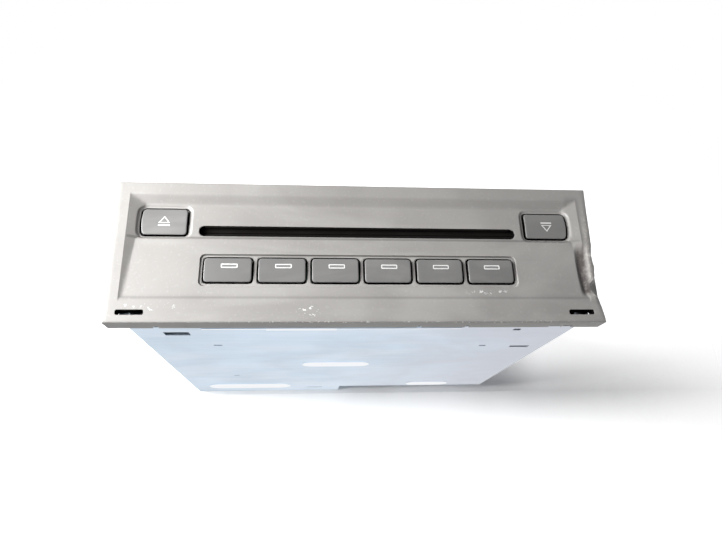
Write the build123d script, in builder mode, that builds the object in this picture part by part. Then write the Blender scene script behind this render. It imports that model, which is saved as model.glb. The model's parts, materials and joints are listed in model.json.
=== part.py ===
"""A car disc changer: a grey bezel with its keys on a sheet steel case that holds six disc trays.

Millimetres. +X is to the right as seen from the front, +Y runs from the face to the rear, +Z is up. The
origin is the centre of the seat, the flat rim at the back of the bezel that bears on the dashboard.
"""

import os
from math import acos, atan, cos, degrees, hypot, pi, radians, sin, tan

from build123d import *

# ---------------------------------------------------------------- driving dimensions
# bezel
BEZEL_WIDTH = 188.0
BEZEL_HEIGHT = 57.0
BEZEL_DEPTH = 7.8
BEZEL_WALL = 2.2
BEZEL_FRONT_WALL = 4.2
BEZEL_CORNER = 1.2
BEZEL_EDGE = 0.6
BEZEL_LIFT = 0.3
RIM_SIDE = 4.7
RIM_TOP = 5.2
RIM_BOTTOM = 8.4
CLIP_X = 45.0
CLIP_WIDTH = 6.0

# sunk panel of the bezel: depths below the rim's front plane, and heights of its bends
PANEL_TOP_DEPTH = 2.2
PANEL_MIDDLE_DEPTH = 2.0
PANEL_STEP_DEPTH = 1.5
PANEL_BOTTOM_DEPTH = 0.4
TOP_FLANK = 3.3
SIDE_FLANK = 5.0
STEP_BELOW_SLOT = 1.0
STEP_HEIGHT = 0.7
BOTTOM_FLANK = 1.5

# chipped right rim: heights of its ends and of its deepest notch, and how far it is drawn in
CHIP_TOP_Z = 6.0
CHIP_BOTTOM_Z = -25.0
CHIP_INSET = 1.2
NOTCH_Z = -14.5
NOTCH_INSET = 3.7
NOTCH_REACH = 3.5
CHIP_LEFT_WALL = 0.6

# disc, and the slot it goes into
DISC_RADIUS = 60.0
DISC_THICKNESS = 1.2
SLOT_SPARE = 5.0
SLOT_HEIGHT = 4.2
SLOT_BELOW_KEY = 3.7
DISC_BELOW_SLOT = 0.75
FELT_LAP = 1.2
FELT_THICKNESS = 0.8
FELT_SLIT = 0.3
LINING = 0.4

# eject and load keys
KEY_FROM_SLOT = 4.75
KEY_FROM_PANEL = 5.35
KEY_HEIGHT = 10.75
KEY_BELOW_PANEL = 11.0
KEY_BOW = 0.5
KEY_PROUD = 0.5
KEY_POCKET_MARGIN = 1.6
KEY_POCKET_DEPTH = 0.5

# disc keys
DISC_KEYS = 6
DISC_KEY_RIB = 2.45
DISC_KEY_WIDTH = 17.8
DISC_KEY_HEIGHT = 9.6
DISC_KEY_ABOVE_PANEL = 12.3
DISC_KEY_PROUD = 0.45
ROW_MARGIN = 1.6
ROW_CORNER = 2.0
ROW_DEPTH = 0.45

# all keys
KEY_GAP = 0.55
KEY_CORNER = 1.3
KEY_CROWN_RADIUS = 32.0
KEY_FLANGE = 0.9
KEY_FLANGE_THICKNESS = 1.0
PLUNGER_RADIUS = 1.4
PLUNGER_REACH = 0.2
SWITCH_WELL = 1.2

# slots for the removal keys
REMOVAL_SLOT_WIDTH = 9.8
REMOVAL_SLOT_HEIGHT = 1.8
REMOVAL_SLOT_CORNER = 0.6
REMOVAL_SLOT_INSET = 9.3
REMOVAL_SLOT_RAISE = 3.95

# case
CASE_INSET = 4.0
CASE_LESS_HIGH = 7.0
CASE_DEPTH = 167.2
CASE_LAP = 2.0
REAR_STEP = 14.0
REAR_STEP_X = -1.0
SHEET = 0.8
FOLD_RADIUS = 1.2
COVER_LIP = 7.0
PANEL_TAB = 24.0
PANEL_TAB_LENGTH = 9.0
PLAY = 0.1

# pressed strips and slots of the underside: x limits, and y from the front (positive) or from the rear
STRIP_HEIGHT = 0.4
STRIPS = (
    ((-23.5, 11.0), (77.5, 87.5)),
    ((-80.0, -31.0), (-26.2, -12.2)),
    ((40.0, 66.0), (-27.2, -17.2)),
)
TOOL_SLOTS = (
    ((-78.0, -68.0), (16.0, 21.0)),
    ((-61.5, -57.8), (38.4, 39.8)),
    ((-61.2, -58.4), (112.6, 113.6)),
    ((-21.0, -11.6), (-12.2, -11.0)),
    ((73.0, 82.0), (43.0, 45.6)),
    ((58.0, 61.0), (41.6, 43.0)),
    ((64.5, 67.5), (12.0, 14.6)),
)

# top cover: its ring, vents and screws
RING_RADIUS = 46.0
RING_WIDTH = 4.0
RING_DEPTH = 0.3
VENTS = 6
VENT_PITCH = 9.0
VENT_WIDTH = 4.0
VENT_LENGTH = 12.0
VENT_X = -72.0
VENT_FROM_REAR = 9.2
COVER_SCREW_INSET = 6.0
COVER_SCREW_Y = (30.0, 120.0)

# threaded side holes for a bracket
SIDE_HOLE_RADIUS = 2.1
SIDE_HOLE_Y = (70.0, 130.0)
SIDE_BOSS_WALL = 1.6
SIDE_BOSS_DEPTH = 2.0

# front board and its switches
BOARD_THICKNESS = 1.6
SWITCH_SIZE = 6.0
SWITCH_HEIGHT = 1.5
FRONT_BOARD_Y = 1.4
BOSS_RADIUS = 2.0
FRONT_SCREW_INSET = 14.0
FRONT_SCREW_RAISE = 9.0
FRONT_SCREW_DROP = 3.0
SCREW_RADIUS = 1.0
SCREW_HEAD_RADIUS = 2.0
SCREW_HEAD = 1.0
SHUTTER_THICKNESS = 0.6
SHUTTER_PIVOT_RADIUS = 0.8
FLEX_WIDTH = 40.0
FLEX_THICKNESS = 0.3
FLEX_TOP_Z = -14.0

# main board
STANDOFF = 2.4
STANDOFF_RADIUS = 2.6
STANDOFF_INSET = 8.0
STANDOFF_FRONT = 20.0
STANDOFF_FROM_REAR = 17.2
BOARD_INSET = 20.0
BOARD_FRONT = 8.0
BOARD_FROM_STEP = 2.0
CHIP_HEIGHT = 1.4
CHIPS = ((-30, 60, 14), (10, 40, 12), (34, 92, 10), (-38, 104, 10), (0, 118, 16))
CAN_RADIUS = 4.0
CAN_HEIGHT = 12.0
CAN_X = (-60.0, -46.0, -32.0)
CAN_FROM_REAR = 8.5

# mechanism frame
FRAME_SHEET = 0.8
FRAME_WIDTH = 144.4
FRAME_CLEAR = 2.6
FRAME_FROM_STEP = 3.0
FRAME_TOP_Z = 17.0
EAR_LENGTH = 10.0
DAMPER_RADIUS = 4.0
DAMPER_FOOT = 0.5
DAMPER_FOOT_HEIGHT = 1.5
DAMPER_INSET = 9.7
DAMPER_Y = (69.0, 140.0)

# disc path and trays
TRAYS = 6
TRAY_PITCH = 2.4
TRAY_THICKNESS = 0.8
TRAY_WIDTH = 126.0
TRAY_CORNER = 9.0
TRAY_MOUTH = 46.0
TRAY_REACH = 62.0
TRAY_NOTCH_RADIUS = 14.0
TRAY_NOTCH_DEPTH = 10.0
STOCKER_SIDE = 1.2
PIN_RADIUS = 1.5
PIN_SPAN = 80.0

# loading roller and its gears
ROLLER_RADIUS = 3.5
ROLLER_MIDDLE_RADIUS = 2.9
ROLLER_SHAFT_RADIUS = 1.5
ROLLER_Y = 12.2
ROLLER_TO_DISC = 66.0
FINE_MODULE = 0.6
ROLLER_TEETH = 24
IDLER_TEETH = 20
MOTOR_TEETH = 10
GEAR_WIDTH = 2.4
TRAIN_SLOPE = -45.0
LOADING_MOTOR_RADIUS = 5.0
LOADING_MOTOR_LENGTH = 22.0
IDLER_PIN_RADIUS = 1.2
MOTOR_SHAFT_RADIUS = 0.75
MOTOR_FLAT = 0.8
MOTOR_BORE = 4.0

# lift drive
CAM_TRAVEL = 15.0
CAM_THICKNESS = 1.0
RACK_MODULE = 0.8
PINION_TEETH = 14
LIFT_TEETH = 32
CROSS_SHAFT_RADIUS = 2.0
CROSS_SHAFT_BEHIND_DISC = 53.0
CROSS_SHAFT_Z = -10.0
LIFT_MOTOR_RADIUS = 5.0
LIFT_MOTOR_LENGTH = 24.0

# playing deck
DECK_THICKNESS = 1.0
DECK_DROP = 3.4
DECK_PIVOT_BEHIND_DISC = 42.0
DECK_PIVOT_RADIUS = 1.5
DECK_ARM_X = 48.0
SPINDLE_MOTOR_RADIUS = 10.0
SPINDLE_MOTOR_HEIGHT = 5.6
TURNTABLE_RADIUS = 13.0
TURNTABLE_THICKNESS = 2.2
CHUCK_RADIUS = 7.3
CHUCK_HEIGHT = 1.4
ROD_RADIUS = 1.0
ROD_SPREAD = 22.0
SLED_LENGTH = 20.0
SLED_TRAVEL = 28.0
SLED_HEIGHT = 5.0
LEAD_SCREW_RADIUS = 1.2
LEAD_SCREW_Y = 27.0
LENS_RADIUS = 2.0
SPINDLE_RADIUS = 1.2
SLED_MOTOR_RADIUS = 4.5
SLED_MOTOR_X = (-30.0, -12.0)
DECK_FRONT = 30.0
DECK_REAR = 34.0
CLAWS = 3
CLAW_RADIUS = 0.55

# release springs for the removal keys
CATCH_LENGTH = 46.0
CATCH_HEIGHT = 9.0
CATCH_SHEET = 0.6
CATCH_BARB = 1.8
CATCH_FRONT_Y = 7.0
CATCH_PIN_RADIUS = 1.0

# connector
CONNECTOR_WIDTH = 30.0
CONNECTOR_HEIGHT = 11.0
CONNECTOR_LENGTH = 13.0
CONNECTOR_X = 23.0
CONNECTOR_WALL = 1.2
CONNECTOR_FLOOR = 3.0
CONNECTOR_PINS = 6
CONNECTOR_PIN = 1.0
PIN_PITCH = 4.2
PIN_ROW = 2.2

RUNNING_CLEARANCE = 0.05
SEAT_GAP = 0.2
PRESSURE_ANGLE = radians(20)
BACKLASH = 0.16
FLANK_POINTS = 4

# ---------------------------------------------------------------- places worked out from the dimensions
FACE_Y = -BEZEL_DEPTH
CASE_WIDTH = BEZEL_WIDTH - 2 * CASE_INSET
CASE_HEIGHT = BEZEL_HEIGHT - CASE_LESS_HIGH
CASE_X = CASE_WIDTH / 2
CASE_Z0 = -BEZEL_HEIGHT / 2 + BEZEL_WALL + BEZEL_LIFT
CASE_Z1 = CASE_Z0 + CASE_HEIGHT
CASE_Y0 = -CASE_LAP
SHORT_DEPTH = CASE_DEPTH - REAR_STEP
FLOOR_Z = CASE_Z0 + SHEET
CEILING_Z = CASE_Z1 - SHEET
INNER_X = CASE_X - SHEET

CLIP_Y = (CASE_Y0 + 0.4, CASE_Y0 + 1.4)

PANEL_X = BEZEL_WIDTH / 2 - RIM_SIDE
PANEL_Z1 = BEZEL_HEIGHT / 2 - RIM_TOP
PANEL_Z0 = -BEZEL_HEIGHT / 2 + RIM_BOTTOM
CAVITY_Y = FACE_Y + BEZEL_FRONT_WALL

SLOT_WIDTH = 2 * DISC_RADIUS + SLOT_SPARE
KEY_INNER = SLOT_WIDTH / 2 + KEY_FROM_SLOT
KEY_WIDTH = PANEL_X - KEY_FROM_PANEL - KEY_INNER
KEY_X = KEY_INNER + KEY_WIDTH / 2
KEY_Z = PANEL_Z1 - KEY_BELOW_PANEL
SLOT_Z = KEY_Z - SLOT_BELOW_KEY
SLOT_Z0 = SLOT_Z - SLOT_HEIGHT / 2
SLOT_Z1 = SLOT_Z + SLOT_HEIGHT / 2
DISC_Z = SLOT_Z - DISC_BELOW_SLOT
STEP_Z = SLOT_Z0 - STEP_BELOW_SLOT
DISC_KEY_PITCH = DISC_KEY_WIDTH + DISC_KEY_RIB
DISC_KEY_Z = PANEL_Z0 + DISC_KEY_ABOVE_PANEL
REMOVAL_SLOT_X = BEZEL_WIDTH / 2 - REMOVAL_SLOT_INSET
REMOVAL_SLOT_Z = -BEZEL_HEIGHT / 2 + REMOVAL_SLOT_RAISE
FRONT_SCREW_X = BEZEL_WIDTH / 2 - FRONT_SCREW_INSET
FRONT_SCREW_LOW = CASE_Z0 + FRONT_SCREW_RAISE
FRONT_SCREW_HIGH = CASE_Z1 - FRONT_SCREW_DROP

SWITCH_Y = FRONT_BOARD_Y - SWITCH_HEIGHT
FRONT_BOARD_REAR = FRONT_BOARD_Y + BOARD_THICKNESS
FRONT_SCREWS = [(x, z) for x in (-FRONT_SCREW_X, FRONT_SCREW_X) for z in (FRONT_SCREW_LOW, FRONT_SCREW_HIGH)]

DISC_Y = ROLLER_Y + ROLLER_TO_DISC
BOARD_WIDTH = CASE_WIDTH - 2 * BOARD_INSET
BOARD_Z = FLOOR_Z + STANDOFF
BOARD_TOP = BOARD_Z + BOARD_THICKNESS
FRAME_Z = BOARD_TOP + FRAME_CLEAR
FRAME_TOP = FRAME_Z + FRAME_SHEET
FRAME_X = FRAME_WIDTH / 2
FRAME_FRONT = ROLLER_Y - 4.0
FRAME_REAR = SHORT_DEPTH - FRAME_FROM_STEP
DAMPERS = [(side * (INNER_X - DAMPER_INSET), y) for side in (-1, 1) for y in DAMPER_Y]
LIFT_TRAVEL = (TRAYS - 1) * TRAY_PITCH
TRAY_SEAT_Z = DISC_Z - DISC_THICKNESS / 2 - TRAY_THICKNESS
LOWEST_TRAY_Z = TRAY_SEAT_Z - LIFT_TRAVEL
TRAY_FRONT = DISC_Y - DISC_RADIUS
CAM_X = FRAME_X - FRAME_SHEET - SEAT_GAP - CAM_THICKNESS
PINION_RADIUS = RACK_MODULE * PINION_TEETH / 2
CROSS_Y = DISC_Y + CROSS_SHAFT_BEHIND_DISC
RACK_Z = CROSS_SHAFT_Z + PINION_RADIUS
ROLLER_Z = DISC_Z - DISC_THICKNESS / 2 - SEAT_GAP - ROLLER_RADIUS
DECK_TOP = LOWEST_TRAY_Z - DECK_DROP
DECK_BOTTOM = DECK_TOP - DECK_THICKNESS
PIVOT_Y = DISC_Y + DECK_PIVOT_BEHIND_DISC
PIVOT_Z = DECK_BOTTOM - 2.0
ROD_Z = DECK_BOTTOM - 2.2
PIN_Z = CROSS_SHAFT_Z + 10.0

os.makedirs("parts", exist_ok=True)


# ---------------------------------------------------------------- shared shapes
def block(x, y, z, mode=Mode.ADD):
    """A box between a low and a high limit along each axis."""
    with Locations(((x[0] + x[1]) / 2, (y[0] + y[1]) / 2, (z[0] + z[1]) / 2)):
        Box(x[1] - x[0], y[1] - y[0], z[1] - z[0], mode=mode)


def side_block(side, x, y, z, mode=Mode.ADD):
    """A box whose x limits are distances from the middle, on the left (-1) or the right (1)."""
    block(sorted((side * x[0], side * x[1])), y, z, mode)


def bar_x(radius, x, y, z, mode=Mode.ADD):
    """A round bar along X between two limits."""
    with Locations(((x[0] + x[1]) / 2, y, z)):
        Cylinder(radius, abs(x[1] - x[0]), rotation=(0, 90, 0), mode=mode)


def bar_y(radius, x, y, z, mode=Mode.ADD):
    """A round bar along Y between two limits."""
    with Locations((x, (y[0] + y[1]) / 2, z)):
        Cylinder(radius, abs(y[1] - y[0]), rotation=(90, 0, 0), mode=mode)


def bar_z(radius, x, y, z, mode=Mode.ADD):
    """A round bar along Z between two limits."""
    with Locations((x, y, (z[0] + z[1]) / 2)):
        Cylinder(radius, abs(z[1] - z[0]), mode=mode)


def rounded_block(x, y, z, radius, mode=Mode.ADD, taper=0):
    """A box with its four edges along Y rounded; a taper draws it in towards the rear."""
    with BuildSketch(Plane.XZ.offset(-y[0]), mode=Mode.PRIVATE) as outline:
        with Locations(((x[0] + x[1]) / 2, (z[0] + z[1]) / 2)):
            RectangleRounded(x[1] - x[0], z[1] - z[0], radius)
    extrude(outline.sketch, amount=y[0] - y[1], taper=taper, mode=mode)


def keep(builder, name):
    """Label a finished piece and write its file."""
    builder.part.label = name
    export_step(builder.part, f"parts/{name}.step")


def involute(angle):
    """The involute function of a pressure angle."""
    return tan(angle) - angle


def gear_points(module, teeth, phase):
    """Points round a spur gear, one tooth centred on the phase angle (radians)."""
    pitch_radius = module * teeth / 2
    base_radius = pitch_radius * cos(PRESSURE_ANGLE)
    tip_radius = pitch_radius + 0.9 * module
    root_radius = pitch_radius - 1.2 * module
    half_tooth = (pi * module / 2 - BACKLASH) / 2 / pitch_radius
    start = max(base_radius, root_radius)
    flank = [(root_radius, half_tooth + involute(PRESSURE_ANGLE) - involute(acos(base_radius / start)))]
    for step in range(FLANK_POINTS):
        radius = start + (tip_radius - start) * step / (FLANK_POINTS - 1)
        angle = half_tooth + involute(PRESSURE_ANGLE) - involute(acos(base_radius / radius))
        if radius > root_radius:
            flank.append((radius, angle))
    points = []
    for tooth in range(teeth):
        centre = phase + 2 * pi * tooth / teeth
        rising = [(radius, centre - angle) for radius, angle in flank]
        falling = [(radius, centre + angle) for radius, angle in reversed(flank)]
        points += [(radius * cos(angle), radius * sin(angle)) for radius, angle in rising + falling]
    return points


def spur_gear(module, teeth, phase, x, y, z, bore, mode=Mode.ADD):
    """A spur gear with its axis along X and its teeth between two x limits."""
    with BuildSketch(Plane.YZ.offset(x[0]), mode=Mode.PRIVATE) as profile:
        with BuildLine():
            Polyline(*[(y + a, z + b) for a, b in gear_points(module, teeth, phase)], close=True)
        make_face()
        if bore:
            with Locations((y, z)):
                Circle(bore, mode=Mode.SUBTRACT)
    extrude(profile.sketch, amount=x[1] - x[0], mode=mode)


def meshed_phase(phase, teeth, next_teeth, direction):
    """The phase of the next gear of a train, whose centre lies along the direction from this one's."""
    lag = (direction - phase) % (2 * pi / teeth)
    return direction + pi + lag * teeth / next_teeth + pi / next_teeth


def panel_depth(z):
    """How far the panel lies below the rim's front plane at a height."""
    heights = (PANEL_Z0, PANEL_Z0 + BOTTOM_FLANK, STEP_Z - STEP_HEIGHT / 2, STEP_Z + STEP_HEIGHT / 2,
               PANEL_Z1 - TOP_FLANK, PANEL_Z1)
    depths = (0, PANEL_BOTTOM_DEPTH, PANEL_STEP_DEPTH, PANEL_MIDDLE_DEPTH, PANEL_TOP_DEPTH, 0)
    for low, high, at_low, at_high in zip(heights, heights[1:], depths, depths[1:]):
        if low <= z <= high:
            return at_low + (at_high - at_low) * (z - low) / (high - low)
    return 0


# ---------------------------------------------------------------- keys
ROW_Y = FACE_Y + panel_depth(DISC_KEY_Z) + ROW_DEPTH
POCKET_Y = FACE_Y + panel_depth(KEY_Z) + KEY_POCKET_DEPTH


def big_key_outline(side, y, grow):
    """The outline of the eject (-1) or load (1) key, its outer edge bowed, on a plane at depth y."""
    inner = KEY_X - KEY_WIDTH / 2
    outer = KEY_X + KEY_WIDTH / 2
    low = KEY_Z - KEY_HEIGHT / 2
    high = KEY_Z + KEY_HEIGHT / 2
    with BuildSketch(Plane.XZ.offset(-y), mode=Mode.PRIVATE) as outline:
        with BuildLine():
            Polyline((side * outer, low), (side * inner, low), (side * inner, high), (side * outer, high))
            ThreePointArc((side * outer, high), (side * (outer + KEY_BOW), KEY_Z), (side * outer, low))
        make_face()
        fillet(outline.vertices(), KEY_CORNER)
        if grow:
            offset(amount=grow, kind=Kind.ARC)
    return outline.sketch


def disc_key_outline(x, y, grow):
    """The outline of one disc key on a plane at depth y."""
    with BuildSketch(Plane.XZ.offset(-y), mode=Mode.PRIVATE) as outline:
        with Locations((x, DISC_KEY_Z)):
            RectangleRounded(DISC_KEY_WIDTH + 2 * grow, DISC_KEY_HEIGHT + 2 * grow, KEY_CORNER + grow)
    return outline.sketch


def key_cap(outline, front, x, z, width, height):
    """A crowned cap with a retaining flange above and below and a plunger that reaches into its switch."""
    flange_y = CAVITY_Y + SEAT_GAP
    flange_z = height / 2 + KEY_FLANGE
    extrude(outline, amount=front - flange_y)
    with Locations((x, front + KEY_CROWN_RADIUS, z)):
        Cylinder(KEY_CROWN_RADIUS, BEZEL_WIDTH, rotation=(0, 90, 0), mode=Mode.INTERSECT)
    block((x - width / 2, x + width / 2), (flange_y, flange_y + KEY_FLANGE_THICKNESS),
          (z - flange_z, z + flange_z))
    bar_y(PLUNGER_RADIUS, x, (flange_y + KEY_FLANGE_THICKNESS, SWITCH_Y + PLUNGER_REACH), z)


DISC_KEY_X = [(key - (DISC_KEYS - 1) / 2) * DISC_KEY_PITCH for key in range(DISC_KEYS)]
SWITCH_PLACES = [(x, DISC_KEY_Z) for x in DISC_KEY_X] + [(-KEY_X, KEY_Z), (KEY_X, KEY_Z)]

for side, name in ((-1, "eject_key"), (1, "load_key")):
    with BuildPart() as big_key:
        key_front = POCKET_Y - KEY_POCKET_DEPTH - KEY_PROUD
        key_cap(big_key_outline(side, key_front, 0), key_front, side * KEY_X, KEY_Z, KEY_WIDTH, KEY_HEIGHT)
    keep(big_key, name)

for number, key_x in enumerate(DISC_KEY_X, 1):
    with BuildPart() as disc_key:
        key_front = ROW_Y - ROW_DEPTH - DISC_KEY_PROUD
        key_cap(disc_key_outline(key_x, key_front, 0), key_front, key_x, DISC_KEY_Z, DISC_KEY_WIDTH,
                DISC_KEY_HEIGHT)
    keep(disc_key, f"disc_key_{number}")

# ---------------------------------------------------------------- bezel
# the sunk panel as a solid: its section drawn along X, drawn in at the sides by a tapered frustum
with BuildPart() as panel_void:
    with BuildSketch(Plane.YZ.offset(-PANEL_X)):
        with BuildLine():
            Polyline(
                (FACE_Y, PANEL_Z0),
                (FACE_Y + PANEL_BOTTOM_DEPTH, PANEL_Z0 + BOTTOM_FLANK),
                (FACE_Y + PANEL_STEP_DEPTH, STEP_Z - STEP_HEIGHT / 2),
                (FACE_Y + PANEL_MIDDLE_DEPTH, STEP_Z + STEP_HEIGHT / 2),
                (FACE_Y + PANEL_TOP_DEPTH, PANEL_Z1 - TOP_FLANK),
                (FACE_Y, PANEL_Z1),
                close=True,
            )
        make_face()
    extrude(amount=2 * PANEL_X)
    flank_angle = degrees(atan(SIDE_FLANK / PANEL_TOP_DEPTH))
    rounded_block((-PANEL_X, PANEL_X), (FACE_Y, FACE_Y + PANEL_TOP_DEPTH), (PANEL_Z0 - 3, PANEL_Z1 + 3),
                  1.0,
                  Mode.INTERSECT, taper=flank_angle)

with BuildPart() as bezel:
    rounded_block((-BEZEL_WIDTH / 2, BEZEL_WIDTH / 2), (FACE_Y, 0), (-BEZEL_HEIGHT / 2, BEZEL_HEIGHT / 2),
                  BEZEL_CORNER)
    fillet(bezel.faces().sort_by(Axis.Y)[0].edges(), BEZEL_EDGE)
    # the hollow that takes the keys and the front end of the case
    cavity_x = BEZEL_WIDTH / 2 - BEZEL_WALL
    cavity_z = BEZEL_HEIGHT / 2 - BEZEL_WALL
    block((-cavity_x, cavity_x), (CAVITY_Y, 0), (-cavity_z, cavity_z), Mode.SUBTRACT)
    add(panel_void.part, mode=Mode.SUBTRACT)
    # bosses for the front board's screws
    for boss_x, boss_z in FRONT_SCREWS:
        bar_y(BOSS_RADIUS, boss_x, (CAVITY_Y, FRONT_BOARD_Y), boss_z)
        bar_y(SCREW_RADIUS, boss_x, (CAVITY_Y + 0.4, FRONT_BOARD_Y), boss_z, Mode.SUBTRACT)
    # ribs that locate the top of the case, with a nib into its window
    for clip_x in (-CLIP_X, CLIP_X):
        clip_span = (clip_x - CLIP_WIDTH / 2, clip_x + CLIP_WIDTH / 2)
        block(clip_span, (CAVITY_Y, CLIP_Y[1]), (CASE_Z1, cavity_z))
        block(clip_span, CLIP_Y, (CASE_Z1 - SHEET, CASE_Z1))
    # row recess and key openings, with thin ribs left between the disc keys
    row_x = DISC_KEY_X[-1] + DISC_KEY_WIDTH / 2 + ROW_MARGIN
    row_z = DISC_KEY_HEIGHT / 2 + ROW_MARGIN
    rounded_block((-row_x, row_x), (FACE_Y - 0.2, ROW_Y), (DISC_KEY_Z - row_z, DISC_KEY_Z + row_z),
                  ROW_CORNER,
                  Mode.SUBTRACT, taper=15)
    for key_x in DISC_KEY_X:
        extrude(disc_key_outline(key_x, FACE_Y, KEY_GAP), amount=-BEZEL_FRONT_WALL, mode=Mode.SUBTRACT)
    for side in (-1, 1):
        extrude(big_key_outline(side, FACE_Y - 0.2, KEY_POCKET_MARGIN), amount=FACE_Y - 0.2 - POCKET_Y,
                taper=20, mode=Mode.SUBTRACT)
        extrude(big_key_outline(side, FACE_Y, KEY_GAP), amount=-BEZEL_FRONT_WALL, mode=Mode.SUBTRACT)
        removal_x = side * REMOVAL_SLOT_X
        rounded_block((removal_x - REMOVAL_SLOT_WIDTH / 2, removal_x + REMOVAL_SLOT_WIDTH / 2),
                      (FACE_Y, CAVITY_Y),
                      (REMOVAL_SLOT_Z - REMOVAL_SLOT_HEIGHT / 2, REMOVAL_SLOT_Z + REMOVAL_SLOT_HEIGHT / 2),
                      REMOVAL_SLOT_CORNER, Mode.SUBTRACT)
    # disc slot with its rounded ends
    rounded_block((-SLOT_WIDTH / 2, SLOT_WIDTH / 2), (FACE_Y, CAVITY_Y), (SLOT_Z0, SLOT_Z1),
                  SLOT_HEIGHT / 2 - 0.01, Mode.SUBTRACT)
    # the chipped right rim
    rim_x = BEZEL_WIDTH / 2
    with BuildSketch(Plane.XZ.offset(-FACE_Y)):
        with BuildLine():
            Polyline(
                (rim_x + 1, CHIP_TOP_Z + 2),
                (rim_x, CHIP_TOP_Z),
                (rim_x - CHIP_INSET, CHIP_TOP_Z - 6),
                (rim_x - 0.8 * CHIP_INSET, NOTCH_Z + 2.2 * NOTCH_REACH),
                (rim_x - 1.6 * CHIP_INSET, NOTCH_Z + NOTCH_REACH),
                (rim_x - NOTCH_INSET, NOTCH_Z + 0.4 * NOTCH_REACH),
                (rim_x - NOTCH_INSET, NOTCH_Z - 0.4 * NOTCH_REACH),
                (rim_x - 1.4 * CHIP_INSET, NOTCH_Z - NOTCH_REACH),
                (rim_x - 0.5 * CHIP_INSET, NOTCH_Z - 2.2 * NOTCH_REACH),
                (rim_x, CHIP_BOTTOM_Z),
                (rim_x + 1, CHIP_BOTTOM_Z - 2),
                close=True,
            )
        make_face()
    extrude(amount=CHIP_LEFT_WALL - BEZEL_FRONT_WALL, mode=Mode.SUBTRACT)
keep(bezel, "bezel")

# dust strips behind the slot, with a lining along the slot's roof and floor
with BuildPart() as slot_felt:
    felt_x = SLOT_WIDTH / 2 + FELT_LAP
    lining_x = SLOT_WIDTH / 2 - SLOT_HEIGHT / 2
    lining_y = (FACE_Y + panel_depth(SLOT_Z) + LINING, CAVITY_Y)
    felt_y = (CAVITY_Y, CAVITY_Y + FELT_THICKNESS)
    block((-felt_x, felt_x), felt_y, (SLOT_Z + FELT_SLIT / 2, SLOT_Z1 + FELT_LAP))
    block((-felt_x, felt_x), felt_y, (SLOT_Z0 - FELT_LAP, SLOT_Z - FELT_SLIT / 2))
    block((-lining_x, lining_x), lining_y, (SLOT_Z1 - LINING, SLOT_Z1))
    block((-lining_x, lining_x), lining_y, (SLOT_Z0, SLOT_Z0 + LINING))
    # the uncut ends hold the two strips together
    for side in (-1, 1):
        side_block(side, (felt_x, felt_x + FELT_LAP), felt_y, (SLOT_Z0 - FELT_LAP, SLOT_Z1 + FELT_LAP))
keep(slot_felt, "slot_felt")

# ---------------------------------------------------------------- front board, switches, shutter
SHUTTER_Y = FRONT_BOARD_REAR + 1.2
SHUTTER_PIVOT_Z = SLOT_Z1 + 1.8
BOARD_OPENING_X = SLOT_WIDTH / 2 + 3.0
BOARD_OPENING_Z = (SLOT_Z0 - 1.5, SHUTTER_PIVOT_Z + 1.4)

with BuildPart() as front_board:
    block((-FRONT_SCREW_X - 5, FRONT_SCREW_X + 5), (FRONT_BOARD_Y, FRONT_BOARD_REAR),
          (FRONT_SCREW_LOW - 4.5, CEILING_Z - 0.3))
    block((-BOARD_OPENING_X, BOARD_OPENING_X), (FRONT_BOARD_Y, FRONT_BOARD_REAR), BOARD_OPENING_Z,
          Mode.SUBTRACT)
    for screw_x, screw_z in FRONT_SCREWS:
        bar_y(SCREW_RADIUS + PLAY, screw_x, (FRONT_BOARD_Y, FRONT_BOARD_REAR), screw_z, Mode.SUBTRACT)
keep(front_board, "front_board")

with BuildPart() as tact_switches:
    for switch_x, switch_z in SWITCH_PLACES:
        block((switch_x - SWITCH_SIZE / 2, switch_x + SWITCH_SIZE / 2), (SWITCH_Y, FRONT_BOARD_Y),
              (switch_z - SWITCH_SIZE / 2, switch_z + SWITCH_SIZE / 2))
        bar_y(PLUNGER_RADIUS + 0.3, switch_x, (SWITCH_Y, SWITCH_Y + SWITCH_WELL), switch_z, Mode.SUBTRACT)
keep(tact_switches, "tact_switches")

with BuildPart() as front_screws:
    for screw_x, screw_z in FRONT_SCREWS:
        bar_y(SCREW_RADIUS - PLAY, screw_x, (FRONT_BOARD_Y - 3.4, FRONT_BOARD_REAR), screw_z)
        bar_y(SCREW_HEAD_RADIUS, screw_x, (FRONT_BOARD_REAR, FRONT_BOARD_REAR + SCREW_HEAD), screw_z)
keep(front_screws, "front_screws")

with BuildPart() as slot_shutter:
    shutter_x = SLOT_WIDTH / 2 + 1.0
    block((-shutter_x, shutter_x), (SHUTTER_Y - SHUTTER_THICKNESS / 2, SHUTTER_Y + SHUTTER_THICKNESS / 2),
          (SLOT_Z0 - 1.4, SHUTTER_PIVOT_Z))
    bar_x(SHUTTER_PIVOT_RADIUS, (-shutter_x - 3, shutter_x + 3), SHUTTER_Y, SHUTTER_PIVOT_Z)
keep(slot_shutter, "slot_shutter")

with BuildPart() as shutter_brackets:
    for side in (-1, 1):
        side_block(side, (shutter_x + 1, shutter_x + 2.5), (FRONT_BOARD_REAR, SHUTTER_Y + 2),
                   (SHUTTER_PIVOT_Z - 2, SHUTTER_PIVOT_Z + 2))
        side_block(side, (shutter_x + 1, shutter_x + 6), (FRONT_BOARD_REAR, FRONT_BOARD_REAR + 0.4),
                   (SHUTTER_PIVOT_Z - 2, SHUTTER_PIVOT_Z + 2))
    bar_x(SHUTTER_PIVOT_RADIUS + RUNNING_CLEARANCE, (-shutter_x - 5, shutter_x + 5), SHUTTER_Y,
          SHUTTER_PIVOT_Z,
          Mode.SUBTRACT)
keep(shutter_brackets, "shutter_brackets")

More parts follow.
